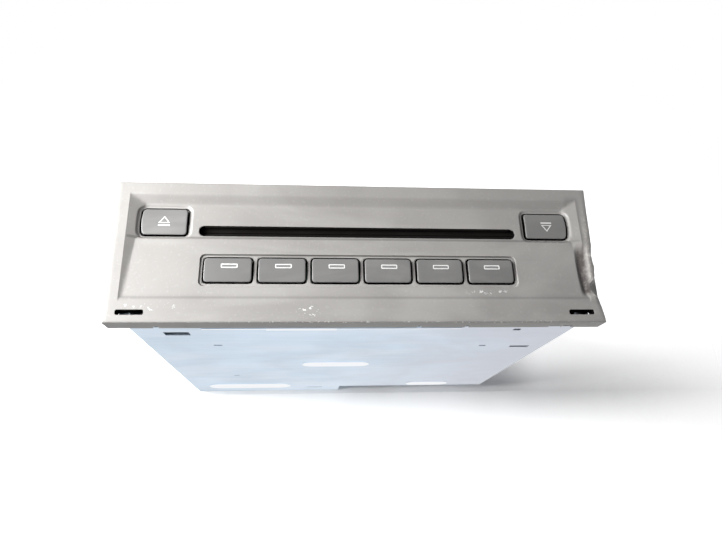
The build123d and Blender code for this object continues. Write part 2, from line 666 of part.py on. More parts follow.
# ---------------------------------------------------------------- case
COVER_SCREWS = [(side * (CASE_X - COVER_SCREW_INSET), y) for side in (-1, 1) for y in COVER_SCREW_Y]
STANDOFF_X = BOARD_WIDTH / 2 - STANDOFF_INSET
STANDOFF_Y = (STANDOFF_FRONT, SHORT_DEPTH - STANDOFF_FROM_REAR)
STANDOFFS = [(side * STANDOFF_X, y) for side in (-1, 1) for y in STANDOFF_Y]
CATCH_PIVOT_Y = CATCH_FRONT_Y + CATCH_LENGTH
CATCH_PIN_X = INNER_X - 0.4 - CATCH_SHEET - CATCH_PIN_RADIUS
CATCH_Z = (FLOOR_Z + 0.3, FLOOR_Z + 0.3 + CATCH_HEIGHT)
VENT_Y = (CASE_DEPTH - VENT_FROM_REAR - VENT_LENGTH, CASE_DEPTH - VENT_FROM_REAR)


def from_front(y):
    """A place along Y, given from the front or, where negative, from the rear."""
    return y if y > 0 else CASE_DEPTH + y


def stepped_plate(x, y0, rear, short_rear, z):
    """A flat plate that is shorter on the right of the step in the case's rear."""
    block((x[0], REAR_STEP_X), (y0, rear), z)
    block((REAR_STEP_X, x[1]), (y0, short_rear), z)


with BuildPart() as case_tray:
    stepped_plate((-CASE_X, CASE_X), CASE_Y0, CASE_DEPTH - SHEET - PLAY, SHORT_DEPTH - SHEET - PLAY,
                  (CASE_Z0, CASE_Z1 - SHEET - PLAY))
    fillet(case_tray.edges().filter_by(Axis.Y).group_by(Axis.Z)[0].sort_by(Axis.X)[0:1], FOLD_RADIUS)
    fillet(case_tray.edges().filter_by(Axis.Y).group_by(Axis.Z)[0].sort_by(Axis.X)[-1:], FOLD_RADIUS)
    block((-INNER_X, REAR_STEP_X - SHEET), (CASE_Y0, CASE_DEPTH), (FLOOR_Z, CASE_Z1), Mode.SUBTRACT)
    block((REAR_STEP_X - SHEET, INNER_X), (CASE_Y0, SHORT_DEPTH), (FLOOR_Z, CASE_Z1), Mode.SUBTRACT)
    block((REAR_STEP_X - SHEET, REAR_STEP_X), (SHORT_DEPTH - SHEET - PLAY, CASE_DEPTH), (FLOOR_Z, CASE_Z1),
          Mode.SUBTRACT)
    # pressed strips on the underside
    for strip_x, strip_y in STRIPS:
        strip_middle = (sum(strip_x) / 2, from_front(sum(strip_y) / 2))
        with BuildSketch(Plane.XY.offset(CASE_Z0)):
            with Locations(strip_middle):
                SlotOverall(strip_x[1] - strip_x[0], strip_y[1] - strip_y[0])
        extrude(amount=-STRIP_HEIGHT, taper=30)
    # slots and tool holes in the underside
    for hole_x, hole_y in TOOL_SLOTS:
        block(hole_x, (from_front(hole_y[0]), from_front(hole_y[1])), (CASE_Z0, FLOOR_Z), Mode.SUBTRACT)
    # standoffs for the main board
    for post_x, post_y in STANDOFFS:
        bar_z(STANDOFF_RADIUS, post_x, post_y, (FLOOR_Z, BOARD_Z))
        bar_z(SCREW_RADIUS, post_x, post_y, (FLOOR_Z, BOARD_Z), Mode.SUBTRACT)
    for side in (-1, 1):
        # window for the barb of the release spring, and the pin the spring turns on
        side_block(side, (INNER_X, CASE_X), (CATCH_FRONT_Y + 1, CATCH_FRONT_Y + 10),
                   (CATCH_Z[0] + 1, CATCH_Z[1] - 1 + 0.3), Mode.SUBTRACT)
        bar_z(CATCH_PIN_RADIUS, side * CATCH_PIN_X, CATCH_PIVOT_Y, (FLOOR_Z, CATCH_Z[1] + 1))
        # threaded holes for a fixing bracket
        boss_end = side * (INNER_X - SIDE_BOSS_DEPTH)
        for hole_y in SIDE_HOLE_Y:
            bar_x(SIDE_HOLE_RADIUS + SIDE_BOSS_WALL, sorted((boss_end, side * INNER_X)), hole_y, 0)
            bar_x(SIDE_HOLE_RADIUS, sorted((boss_end, side * CASE_X)), hole_y, 0, Mode.SUBTRACT)
keep(case_tray, "case_tray")

with BuildPart() as top_cover:
    stepped_plate((-CASE_X, CASE_X), CASE_Y0, CASE_DEPTH - SHEET - PLAY, SHORT_DEPTH - SHEET - PLAY,
                  (CEILING_Z, CASE_Z1))
    # lips folded down inside the case's sides
    for side in (-1, 1):
        rear = CASE_DEPTH - 4 if side < 0 else SHORT_DEPTH - 4
        side_block(side, (INNER_X - PLAY - SHEET, INNER_X - PLAY), (6.0, rear),
                   (CEILING_Z - COVER_LIP, CEILING_Z))
    # pressed ring and vents
    with BuildSketch(Plane.XY.offset(CASE_Z1)):
        with Locations((0, DISC_Y)):
            Circle(RING_RADIUS)
            Circle(RING_RADIUS - RING_WIDTH, mode=Mode.SUBTRACT)
    extrude(amount=-RING_DEPTH, mode=Mode.SUBTRACT)
    for vent in range(VENTS):
        vent_x = VENT_X + VENT_PITCH * vent
        block((vent_x, vent_x + VENT_WIDTH), VENT_Y, (CEILING_Z, CASE_Z1), Mode.SUBTRACT)
    # windows for the bezel's nibs
    window = CLIP_WIDTH / 2 + SEAT_GAP
    for clip_x in (-CLIP_X, CLIP_X):
        block((clip_x - window, clip_x + window), (CLIP_Y[0] - SEAT_GAP, CLIP_Y[1] + SEAT_GAP),
              (CEILING_Z, CASE_Z1), Mode.SUBTRACT)
    for screw_x, screw_y in COVER_SCREWS:
        bar_z(SCREW_RADIUS + PLAY, screw_x, screw_y, (CEILING_Z, CASE_Z1), Mode.SUBTRACT)
keep(top_cover, "top_cover")

with BuildPart() as cover_screws:
    for screw_x, screw_y in COVER_SCREWS:
        bar_z(SCREW_RADIUS, screw_x, screw_y, (CEILING_Z - 4, CASE_Z1))
        bar_z(SCREW_HEAD_RADIUS, screw_x, screw_y, (CASE_Z1, CASE_Z1 + SCREW_HEAD))
keep(cover_screws, "cover_screws")

CONNECTOR_Z = (BOARD_TOP, BOARD_TOP + CONNECTOR_HEIGHT)
CONNECTOR_Y1 = SHORT_DEPTH + 2.0
CONNECTOR_Y0 = CONNECTOR_Y1 - CONNECTOR_LENGTH

with BuildPart() as rear_panel:
    block((-CASE_X, REAR_STEP_X), (CASE_DEPTH - SHEET, CASE_DEPTH), (CASE_Z0, CASE_Z1))
    step_z = (FLOOR_Z + PLAY, CEILING_Z - PLAY)
    block((REAR_STEP_X - SHEET, REAR_STEP_X), (SHORT_DEPTH - SHEET, CASE_DEPTH), step_z)
    block((REAR_STEP_X - SHEET, CASE_X), (SHORT_DEPTH - SHEET, SHORT_DEPTH), step_z)
    block((REAR_STEP_X + PLAY, CASE_X), (SHORT_DEPTH - SHEET, SHORT_DEPTH), (CASE_Z0, CASE_Z1))
    block((CONNECTOR_X - CONNECTOR_WIDTH / 2 - PLAY, CONNECTOR_X + CONNECTOR_WIDTH / 2 + PLAY),
          (SHORT_DEPTH - SHEET, SHORT_DEPTH), (CONNECTOR_Z[0] - PLAY, CONNECTOR_Z[1] + PLAY), Mode.SUBTRACT)
    for side in (-1, 1):
        rear = CASE_DEPTH if side < 0 else SHORT_DEPTH
        side_block(side, (INNER_X - PLAY - SHEET, INNER_X - PLAY), (rear - PANEL_TAB_LENGTH, rear - SHEET),
                   (-PANEL_TAB / 2, PANEL_TAB / 2))
keep(rear_panel, "rear_panel")

# ---------------------------------------------------------------- release springs
for side, name in ((-1, "release_spring_left"), (1, "release_spring_right")):
    with BuildPart() as release_spring:
        leaf_x = (INNER_X - 0.4 - CATCH_SHEET, INNER_X - 0.4)
        side_block(side, leaf_x, (CATCH_FRONT_Y, CATCH_PIVOT_Y), CATCH_Z)
        # barb: a ramp at the front, square at the rear
        with BuildSketch(Plane.XY.offset(CATCH_Z[0] + 1.4)):
            with BuildLine():
                Polyline(
                    (side * leaf_x[0], CATCH_FRONT_Y + 2),
                    (side * (CASE_X + CATCH_BARB), CATCH_FRONT_Y + 7),
                    (side * (CASE_X + CATCH_BARB), CATCH_FRONT_Y + 8.6),
                    (side * leaf_x[0], CATCH_FRONT_Y + 8.6),
                    close=True,
                )
            make_face()
        extrude(amount=CATCH_HEIGHT - 2.8)
        bar_z(CATCH_PIN_RADIUS + CATCH_SHEET + RUNNING_CLEARANCE, side * CATCH_PIN_X, CATCH_PIVOT_Y,
              CATCH_Z)
        bar_z(CATCH_PIN_RADIUS + RUNNING_CLEARANCE, side * CATCH_PIN_X, CATCH_PIVOT_Y, CATCH_Z,
              Mode.SUBTRACT)
    keep(release_spring, name)

# ---------------------------------------------------------------- main board
BOARD_REAR = SHORT_DEPTH - BOARD_FROM_STEP

with BuildPart() as main_board:
    block((-BOARD_WIDTH / 2, BOARD_WIDTH / 2), (BOARD_FRONT, BOARD_REAR), (BOARD_Z, BOARD_TOP))
    block((-BOARD_WIDTH / 2, REAR_STEP_X - 3), (BOARD_REAR, CASE_DEPTH - 3), (BOARD_Z, BOARD_TOP))
    for post_x, post_y in STANDOFFS:
        bar_z(SCREW_RADIUS + PLAY, post_x, post_y, (BOARD_Z, BOARD_TOP), Mode.SUBTRACT)
keep(main_board, "main_board")

with BuildPart() as board_screws:
    for post_x, post_y in STANDOFFS:
        bar_z(SCREW_RADIUS - PLAY, post_x, post_y, (BOARD_TOP - 3, BOARD_TOP))
        bar_z(SCREW_HEAD_RADIUS, post_x, post_y, (BOARD_TOP, BOARD_TOP + SCREW_HEAD))
keep(board_screws, "board_screws")

with BuildPart() as board_components:
    for chip_x, chip_y, chip_size in CHIPS:
        block((chip_x - chip_size / 2, chip_x + chip_size / 2),
              (chip_y - chip_size / 2, chip_y + chip_size / 2),
              (BOARD_TOP, BOARD_TOP + CHIP_HEIGHT))
    for can_x in CAN_X:
        bar_z(CAN_RADIUS, can_x, CASE_DEPTH - CAN_FROM_REAR, (BOARD_TOP, BOARD_TOP + CAN_HEIGHT))
keep(board_components, "board_components")

with BuildPart() as rear_connector:
    connector_x = (CONNECTOR_X - CONNECTOR_WIDTH / 2, CONNECTOR_X + CONNECTOR_WIDTH / 2)
    block(connector_x, (CONNECTOR_Y0, CONNECTOR_Y1), CONNECTOR_Z)
    block((connector_x[0] + CONNECTOR_WALL, connector_x[1] - CONNECTOR_WALL),
          (CONNECTOR_Y0 + CONNECTOR_FLOOR, CONNECTOR_Y1),
          (CONNECTOR_Z[0] + CONNECTOR_WALL, CONNECTOR_Z[1] - CONNECTOR_WALL), Mode.SUBTRACT)
keep(rear_connector, "rear_connector")

with BuildPart() as connector_pins:
    for column in range(CONNECTOR_PINS):
        for row in (-1, 1):
            pin_x = CONNECTOR_X + (column - (CONNECTOR_PINS - 1) / 2) * PIN_PITCH
            pin_z = (CONNECTOR_Z[0] + CONNECTOR_Z[1]) / 2 + row * PIN_ROW
            block((pin_x - CONNECTOR_PIN / 2, pin_x + CONNECTOR_PIN / 2),
                  (CONNECTOR_Y0 + CONNECTOR_FLOOR, CONNECTOR_Y1 - CONNECTOR_FLOOR),
                  (pin_z - CONNECTOR_PIN / 2, pin_z + CONNECTOR_PIN / 2))
keep(connector_pins, "connector_pins")

with BuildPart() as front_flex:
    flex_x = (-FLEX_WIDTH / 2, FLEX_WIDTH / 2)
    block(flex_x, (FRONT_BOARD_REAR, FRONT_BOARD_REAR + FLEX_THICKNESS), (BOARD_TOP, FLEX_TOP_Z))
    block(flex_x, (FRONT_BOARD_REAR, BOARD_FRONT + 3), (BOARD_TOP, BOARD_TOP + FLEX_THICKNESS))
keep(front_flex, "front_flex")

# ---------------------------------------------------------------- mechanism frame
TRAIN_DIRECTION = radians(TRAIN_SLOPE)
IDLER_DISTANCE = FINE_MODULE * (ROLLER_TEETH + IDLER_TEETH) / 2
IDLER_Y = ROLLER_Y + IDLER_DISTANCE * cos(TRAIN_DIRECTION)
IDLER_Z = ROLLER_Z + IDLER_DISTANCE * sin(TRAIN_DIRECTION)
MOTOR_DISTANCE = FINE_MODULE * (IDLER_TEETH + MOTOR_TEETH) / 2
LOADING_MOTOR_Y = IDLER_Y + MOTOR_DISTANCE * cos(TRAIN_DIRECTION)
LOADING_MOTOR_Z = IDLER_Z + MOTOR_DISTANCE * sin(TRAIN_DIRECTION)
TRAIN_X = (-FRAME_X - 1.0 - GEAR_WIDTH, -FRAME_X - 1.0)
LIFT_MOTOR_DISTANCE = FINE_MODULE * (LIFT_TEETH + MOTOR_TEETH) / 2
LIFT_MOTOR_Y = CROSS_Y + LIFT_MOTOR_DISTANCE
LIFT_WHEEL_X = (TRAY_WIDTH / 2 + STOCKER_SIDE + 1.0, TRAY_WIDTH / 2 + STOCKER_SIDE + 1.0 + GEAR_WIDTH)
LIFT_MOTOR_X = (LIFT_WHEEL_X[0] - 2 - LIFT_MOTOR_LENGTH, LIFT_WHEEL_X[0] - 2)
STOCKER_PINS = (DISC_Y - PIN_SPAN / 2, DISC_Y + PIN_SPAN / 2)
PIN_SLOT = PIN_RADIUS + PLAY

with BuildPart() as mechanism_frame:
    block((-FRAME_X, FRAME_X), (FRAME_FRONT, FRAME_REAR), (FRAME_Z, FRAME_TOP))
    for side in (-1, 1):
        side_block(side, (FRAME_X - FRAME_SHEET, FRAME_X), (FRAME_FRONT, FRAME_REAR),
                   (FRAME_Z, FRAME_TOP_Z))
        # upright slots that keep the stocker's pins in place
        for pin_y in STOCKER_PINS:
            side_block(side, (FRAME_X - FRAME_SHEET, FRAME_X), (pin_y - PIN_SLOT, pin_y + PIN_SLOT),
                       (PIN_Z - PIN_SLOT, PIN_Z + LIFT_TRAVEL + PIN_SLOT), Mode.SUBTRACT)
    # ears that rest on the dampers
    for ear_x, ear_y in DAMPERS:
        side_block(1 if ear_x > 0 else -1, (FRAME_X, abs(ear_x) + DAMPER_RADIUS),
                   (ear_y - EAR_LENGTH / 2, ear_y + EAR_LENGTH / 2), (FRAME_Z, FRAME_TOP))
    # bearings of the roller, the cross shaft and the deck's pivot rod
    both_walls = (-FRAME_X, FRAME_X)
    bar_x(ROLLER_SHAFT_RADIUS + RUNNING_CLEARANCE, both_walls, ROLLER_Y, ROLLER_Z, Mode.SUBTRACT)
    bar_x(CROSS_SHAFT_RADIUS + RUNNING_CLEARANCE, both_walls, CROSS_Y, CROSS_SHAFT_Z, Mode.SUBTRACT)
    for side in (-1, 1):
        side_block(side, (DECK_ARM_X + 2.4, DECK_ARM_X + 4.4), (PIVOT_Y - 3, PIVOT_Y + 3),
                   (FRAME_TOP, PIVOT_Z + 3))
    bar_x(DECK_PIVOT_RADIUS, (-DECK_ARM_X - 5, DECK_ARM_X + 5), PIVOT_Y, PIVOT_Z, Mode.SUBTRACT)
    # rest under the front of the deck
    block((-6, 6), (DISC_Y - 27, DISC_Y - 26), (FRAME_TOP, DECK_BOTTOM))
    # loading motor's shaft hole and the stud of the idler gear
    bar_x(2.0, (-FRAME_X, -FRAME_X + FRAME_SHEET), LOADING_MOTOR_Y, LOADING_MOTOR_Z, Mode.SUBTRACT)
    bar_x(IDLER_PIN_RADIUS, (-FRAME_X - 1.4 - GEAR_WIDTH, -FRAME_X), IDLER_Y, IDLER_Z)
    # cradle of the lift motor, and the openings for its wheel and for the connector
    block((LIFT_MOTOR_X[0] + 3, LIFT_MOTOR_X[1] - 3), (LIFT_MOTOR_Y - 4, LIFT_MOTOR_Y + 4),
          (FRAME_TOP, CROSS_SHAFT_Z - 3))
    bar_x(LIFT_MOTOR_RADIUS, LIFT_MOTOR_X, LIFT_MOTOR_Y, CROSS_SHAFT_Z, Mode.SUBTRACT)
    block((LIFT_WHEEL_X[0] - 0.8, LIFT_WHEEL_X[1] + 0.8), (CROSS_Y - 11.5, CROSS_Y + 11.5),
          (FRAME_Z, FRAME_TOP),
          Mode.SUBTRACT)
    block((CONNECTOR_X - CONNECTOR_WIDTH / 2 - 1, CONNECTOR_X + CONNECTOR_WIDTH / 2 + 1),
          (CONNECTOR_Y0 - 1, FRAME_REAR), (FRAME_Z, FRAME_TOP), Mode.SUBTRACT)
keep(mechanism_frame, "mechanism_frame")

with BuildPart() as dampers:
    for damper_x, damper_y in DAMPERS:
        bar_z(DAMPER_RADIUS, damper_x, damper_y, (FLOOR_Z, FRAME_Z))
        bar_z(DAMPER_RADIUS + DAMPER_FOOT, damper_x, damper_y, (FLOOR_Z, FLOOR_Z + DAMPER_FOOT_HEIGHT))
keep(dampers, "dampers")

with BuildPart() as upper_guide:
    guide_x = FRAME_X - FRAME_SHEET - SEAT_GAP
    guide_z = DISC_Z + DISC_THICKNESS / 2 + 1.0
    block((-guide_x, guide_x), (ROLLER_Y - 0.6, TRAY_FRONT - 0.6), (guide_z, guide_z + FRAME_SHEET))
    block((-guide_x, guide_x), (ROLLER_Y + 1, ROLLER_Y + 1 + FRAME_SHEET), (guide_z, guide_z + 6))
keep(upper_guide, "upper_guide")

# ---------------------------------------------------------------- loading roller and its train
with BuildPart() as roller_shaft:
    bar_x(ROLLER_SHAFT_RADIUS, (-FRAME_X - 1.6 - GEAR_WIDTH, FRAME_X + 1.2), ROLLER_Y, ROLLER_Z)
keep(roller_shaft, "roller_shaft")

with BuildPart() as roller_sleeves:
    for side in (-1, 1):
        with BuildSketch(Plane.XY.offset(ROLLER_Z)):
            with BuildLine():
                Polyline(
                    (side * 4, ROLLER_Y + ROLLER_SHAFT_RADIUS),
                    (side * 4, ROLLER_Y + ROLLER_MIDDLE_RADIUS),
                    (side * SLOT_WIDTH / 2, ROLLER_Y + ROLLER_RADIUS),
                    (side * SLOT_WIDTH / 2, ROLLER_Y + ROLLER_SHAFT_RADIUS),
                    close=True,
                )
            make_face()
        revolve(axis=Axis((0, ROLLER_Y, ROLLER_Z), (1, 0, 0)))
keep(roller_sleeves, "roller_sleeves")

IDLER_PHASE = meshed_phase(0, ROLLER_TEETH, IDLER_TEETH, TRAIN_DIRECTION)
LOADING_PHASE = meshed_phase(IDLER_PHASE, IDLER_TEETH, MOTOR_TEETH, TRAIN_DIRECTION)

with BuildPart() as roller_gear:
    spur_gear(FINE_MODULE, ROLLER_TEETH, 0, TRAIN_X, ROLLER_Y, ROLLER_Z, ROLLER_SHAFT_RADIUS)
keep(roller_gear, "roller_gear")

with BuildPart() as idler_gear:
    spur_gear(FINE_MODULE, IDLER_TEETH, IDLER_PHASE, TRAIN_X, IDLER_Y, IDLER_Z,
              IDLER_PIN_RADIUS + RUNNING_CLEARANCE)
keep(idler_gear, "idler_gear")

with BuildPart() as loading_pinion:
    spur_gear(FINE_MODULE, MOTOR_TEETH, LOADING_PHASE, TRAIN_X, LOADING_MOTOR_Y, LOADING_MOTOR_Z, 0)
    bar_x(MOTOR_SHAFT_RADIUS, (TRAIN_X[1], -FRAME_X + FRAME_SHEET + 3), LOADING_MOTOR_Y, LOADING_MOTOR_Z)
keep(loading_pinion, "loading_pinion")


def motor(x, y, z, radius, shaft_end):
    """A flat-sided motor along X with a bore for its shaft at one end (-1 or 1)."""
    bar_x(radius, x, y, z)
    block(x, (y - radius, y + radius), (z + MOTOR_FLAT * radius, z + radius), Mode.SUBTRACT)
    end = x[0] if shaft_end < 0 else x[1]
    bore_x = sorted((end, end - shaft_end * MOTOR_BORE))
    bar_x(MOTOR_SHAFT_RADIUS + RUNNING_CLEARANCE, bore_x, y, z, Mode.SUBTRACT)


LOADING_MOTOR_X = (-FRAME_X + FRAME_SHEET, -FRAME_X + FRAME_SHEET + LOADING_MOTOR_LENGTH)

with BuildPart() as loading_motor:
    motor(LOADING_MOTOR_X, LOADING_MOTOR_Y, LOADING_MOTOR_Z, LOADING_MOTOR_RADIUS, -1)
keep(loading_motor, "loading_motor")

# ---------------------------------------------------------------- disc trays and stocker
for number in range(1, TRAYS + 1):
    tray_z = LOWEST_TRAY_Z + (number - 1) * TRAY_PITCH
    with BuildPart() as disc_tray:
        with BuildSketch(Plane.XY.offset(tray_z)):
            with Locations((0, DISC_Y)):
                RectangleRounded(TRAY_WIDTH, 2 * DISC_RADIUS, TRAY_CORNER)
                Circle(TRAY_MOUTH / 2, mode=Mode.SUBTRACT)
                # the mouth is drawn out to the right for the pickup
                with Locations((TRAY_REACH / 2, 0)):
                    Rectangle(TRAY_REACH, TRAY_MOUTH, mode=Mode.SUBTRACT)
        extrude(amount=TRAY_THICKNESS)
        # notch at the front edge, where the disc is gripped
        bar_z(TRAY_NOTCH_RADIUS, 0, TRAY_FRONT + TRAY_NOTCH_DEPTH - TRAY_NOTCH_RADIUS,
              (tray_z, tray_z + TRAY_THICKNESS), Mode.SUBTRACT)
    keep(disc_tray, f"disc_tray_{number}")

STOCKER_Z = (LOWEST_TRAY_Z - 0.2, TRAY_SEAT_Z + TRAY_THICKNESS + 1.2)

for side, name in ((-1, "stocker_side_left"), (1, "stocker_side_right")):
    with BuildPart() as stocker_side:
        side_block(side, (TRAY_WIDTH / 2, TRAY_WIDTH / 2 + STOCKER_SIDE),
                   (STOCKER_PINS[0] - 4, STOCKER_PINS[1] + 3), STOCKER_Z)
        for pin_y in STOCKER_PINS:
            pin_x = sorted((side * (TRAY_WIDTH / 2 + STOCKER_SIDE), side * (FRAME_X + 0.8)))
            bar_x(PIN_RADIUS, pin_x, pin_y, PIN_Z)
    keep(stocker_side, name)

# ---------------------------------------------------------------- cam plates with their racks
CAM_FRONT = STOCKER_PINS[0] - CAM_TRAVEL - 5
CAM_REAR = CROSS_Y + 3
RACK_PITCH = pi * RACK_MODULE
CAM_BOTTOM = RACK_Z + 1.2 * RACK_MODULE
CAM_TOP = PIN_Z + LIFT_TRAVEL + 4
RACK_TEETH = int((CAM_TRAVEL + 8) / RACK_PITCH)
RACK_HALF = (pi * RACK_MODULE / 2 - BACKLASH) / 2


def rack_tooth(y):
    """One downward tooth of the rack, centred at y on the pitch line."""
    tip = RACK_Z - 0.9 * RACK_MODULE
    root = CAM_BOTTOM + 0.1
    spread = tan(PRESSURE_ANGLE)
    half_root = RACK_HALF + (root - RACK_Z) * spread
    half_tip = RACK_HALF - (RACK_Z - tip) * spread
    Polygon((y - half_root, root), (y - half_tip, tip), (y + half_tip, tip), (y + half_root, root),
            align=None)


for side, name in ((-1, "cam_plate_left"), (1, "cam_plate_right")):
    with BuildPart() as cam_plate:
        with BuildSketch(Plane.YZ.offset(CAM_X if side > 0 else -CAM_X - CAM_THICKNESS)):
            with BuildLine():
                Polyline((CAM_FRONT, CAM_BOTTOM), (CAM_REAR, CAM_BOTTOM), (CAM_REAR, CAM_BOTTOM + 6),
                         (CAM_REAR - 8, CAM_TOP), (CAM_FRONT, CAM_TOP), close=True)
            make_face()
            for tooth in range(RACK_TEETH):
                rack_tooth(CROSS_Y + (0.5 - tooth) * RACK_PITCH)
            # slanted slots that lift the stocker's pins as the plate moves back
            for pin_y in STOCKER_PINS:
                with Locations((pin_y - CAM_TRAVEL / 2, PIN_Z + LIFT_TRAVEL / 2)):
                    SlotCenterToCenter(hypot(CAM_TRAVEL, LIFT_TRAVEL), 2 * PIN_SLOT, mode=Mode.SUBTRACT,
                                       rotation=-degrees(atan(LIFT_TRAVEL / CAM_TRAVEL)))
        extrude(amount=CAM_THICKNESS)
    keep(cam_plate, name)

# ---------------------------------------------------------------- cross shaft, pinions, lift wheel and motor
PINION_PHASE = pi / 2
WHEEL_PHASE = 0.0
LIFT_PHASE = meshed_phase(WHEEL_PHASE, LIFT_TEETH, MOTOR_TEETH, 0.0)

with BuildPart() as cross_shaft:
    bar_x(CROSS_SHAFT_RADIUS, (-FRAME_X - 1.2, FRAME_X + 1.2), CROSS_Y, CROSS_SHAFT_Z)
keep(cross_shaft, "cross_shaft")

with BuildPart() as cross_pinions:
    for side in (-1, 1):
        spur_gear(RACK_MODULE, PINION_TEETH, PINION_PHASE,
                  sorted((side * (CAM_X - 0.6), side * (CAM_X + CAM_THICKNESS + SEAT_GAP - PLAY))),
                  CROSS_Y, CROSS_SHAFT_Z, CROSS_SHAFT_RADIUS)
keep(cross_pinions, "cross_pinions")

with BuildPart() as lift_wheel:
    spur_gear(FINE_MODULE, LIFT_TEETH, WHEEL_PHASE, LIFT_WHEEL_X, CROSS_Y, CROSS_SHAFT_Z,
              CROSS_SHAFT_RADIUS)
keep(lift_wheel, "lift_wheel")

with BuildPart() as lift_pinion:
    spur_gear(FINE_MODULE, MOTOR_TEETH, LIFT_PHASE, LIFT_WHEEL_X, LIFT_MOTOR_Y, CROSS_SHAFT_Z, 0)
    bar_x(MOTOR_SHAFT_RADIUS, (LIFT_MOTOR_X[1] - 3, LIFT_WHEEL_X[0]), LIFT_MOTOR_Y, CROSS_SHAFT_Z)
keep(lift_pinion, "lift_pinion")

with BuildPart() as lift_motor:
    motor(LIFT_MOTOR_X, LIFT_MOTOR_Y, CROSS_SHAFT_Z, LIFT_MOTOR_RADIUS, 1)
keep(lift_motor, "lift_motor")

# ---------------------------------------------------------------- playing deck
DECK_Y = (DISC_Y - DECK_FRONT, DISC_Y + DECK_REAR)
SLED_X = TURNTABLE_RADIUS + 2.5
WELL_X = (SLED_X - 1.5, SLED_X + SLED_LENGTH + SLED_TRAVEL + 1.5)
ROD_ENDS = (WELL_X[0] - 3, min(WELL_X[1] + 2.5, TRAY_WIDTH / 2 + 3))
SCREW_Y = DISC_Y + LEAD_SCREW_Y

with BuildPart() as deck_plate:
    block((-DECK_ARM_X - 2, ROD_ENDS[1]), DECK_Y, (DECK_BOTTOM, DECK_TOP))
    # arms to the pivot rod
    for side in (-1, 1):
        side_block(side, (DECK_ARM_X - 2, DECK_ARM_X + 2), (DISC_Y, PIVOT_Y + 3), (DECK_BOTTOM, DECK_TOP))
        side_block(side, (DECK_ARM_X - 2, DECK_ARM_X + 2), (PIVOT_Y - 3, PIVOT_Y + 3),
                   (PIVOT_Z - 2.5, DECK_TOP))
    # well for the sled, hanging brackets for the rods, openings for the motors
    block(WELL_X, (DISC_Y - ROD_SPREAD - 3.5, DISC_Y + LEAD_SCREW_Y + 3), (DECK_BOTTOM, DECK_TOP),
          Mode.SUBTRACT)
    for rod_y in (DISC_Y - ROD_SPREAD, DISC_Y + ROD_SPREAD):
        for low, high in ((ROD_ENDS[0] - 1, WELL_X[0] - 0.5), (WELL_X[1] + 0.5, ROD_ENDS[1])):
            block((low, high), (rod_y - 2.5, rod_y + 2.5), (ROD_Z - 2, DECK_BOTTOM))
    for rod_y in (DISC_Y - ROD_SPREAD, DISC_Y + ROD_SPREAD):
        bar_x(ROD_RADIUS, ROD_ENDS, rod_y, ROD_Z, Mode.SUBTRACT)
    block((WELL_X[1] + 0.5, ROD_ENDS[1]), (SCREW_Y - 2.5, SCREW_Y + 2.5), (ROD_Z - 2, DECK_BOTTOM))
    bar_x(LEAD_SCREW_RADIUS + RUNNING_CLEARANCE, (WELL_X[1], ROD_ENDS[1]), SCREW_Y, ROD_Z, Mode.SUBTRACT)
    bar_x(DECK_PIVOT_RADIUS + RUNNING_CLEARANCE, (-DECK_ARM_X - 3, DECK_ARM_X + 3), PIVOT_Y, PIVOT_Z,
          Mode.SUBTRACT)
    motor_half = SLED_MOTOR_RADIUS - 0.3
    block((SLED_MOTOR_X[0] - 1, SLED_MOTOR_X[1] + 1), (SCREW_Y - motor_half, SCREW_Y + motor_half),
          (DECK_BOTTOM, DECK_TOP), Mode.SUBTRACT)
    bar_z(3.0, 0, DISC_Y, (DECK_BOTTOM, DECK_TOP), Mode.SUBTRACT)
keep(deck_plate, "deck_plate")

with BuildPart() as deck_pivot:
    bar_x(DECK_PIVOT_RADIUS, (-DECK_ARM_X - 4.4, DECK_ARM_X + 4.4), PIVOT_Y, PIVOT_Z)
keep(deck_pivot, "deck_pivot")

with BuildPart() as spindle_motor:
    bar_z(SPINDLE_MOTOR_RADIUS, 0, DISC_Y, (DECK_BOTTOM - SPINDLE_MOTOR_HEIGHT, DECK_BOTTOM))
    bar_z(2.8, 0, DISC_Y, (DECK_BOTTOM, DECK_TOP))
    bar_z(SPINDLE_RADIUS + RUNNING_CLEARANCE, 0, DISC_Y, (DECK_BOTTOM - 3, DECK_TOP), Mode.SUBTRACT)
keep(spindle_motor, "spindle_motor")

with BuildPart() as turntable:
    table_z = DECK_TOP + 0.4
    bar_z(SPINDLE_RADIUS, 0, DISC_Y, (DECK_BOTTOM - 2.5, table_z))
    bar_z(TURNTABLE_RADIUS, 0, DISC_Y, (table_z, table_z + TURNTABLE_THICKNESS))
    bar_z(CHUCK_RADIUS, 0, DISC_Y,
          (table_z + TURNTABLE_THICKNESS, table_z + TURNTABLE_THICKNESS + CHUCK_HEIGHT))
    for claw in range(CLAWS):
        angle = 2 * pi * claw / CLAWS
        with Locations((CHUCK_RADIUS * 0.96 * cos(angle), DISC_Y + CHUCK_RADIUS * 0.96 * sin(angle),
                        table_z + TURNTABLE_THICKNESS + CHUCK_HEIGHT / 2)):
            Sphere(CLAW_RADIUS)
keep(turntable, "turntable")

with BuildPart() as guide_rods:
    for rod_y in (DISC_Y - ROD_SPREAD, DISC_Y + ROD_SPREAD):
        bar_x(ROD_RADIUS, ROD_ENDS, rod_y, ROD_Z)
keep(guide_rods, "guide_rods")

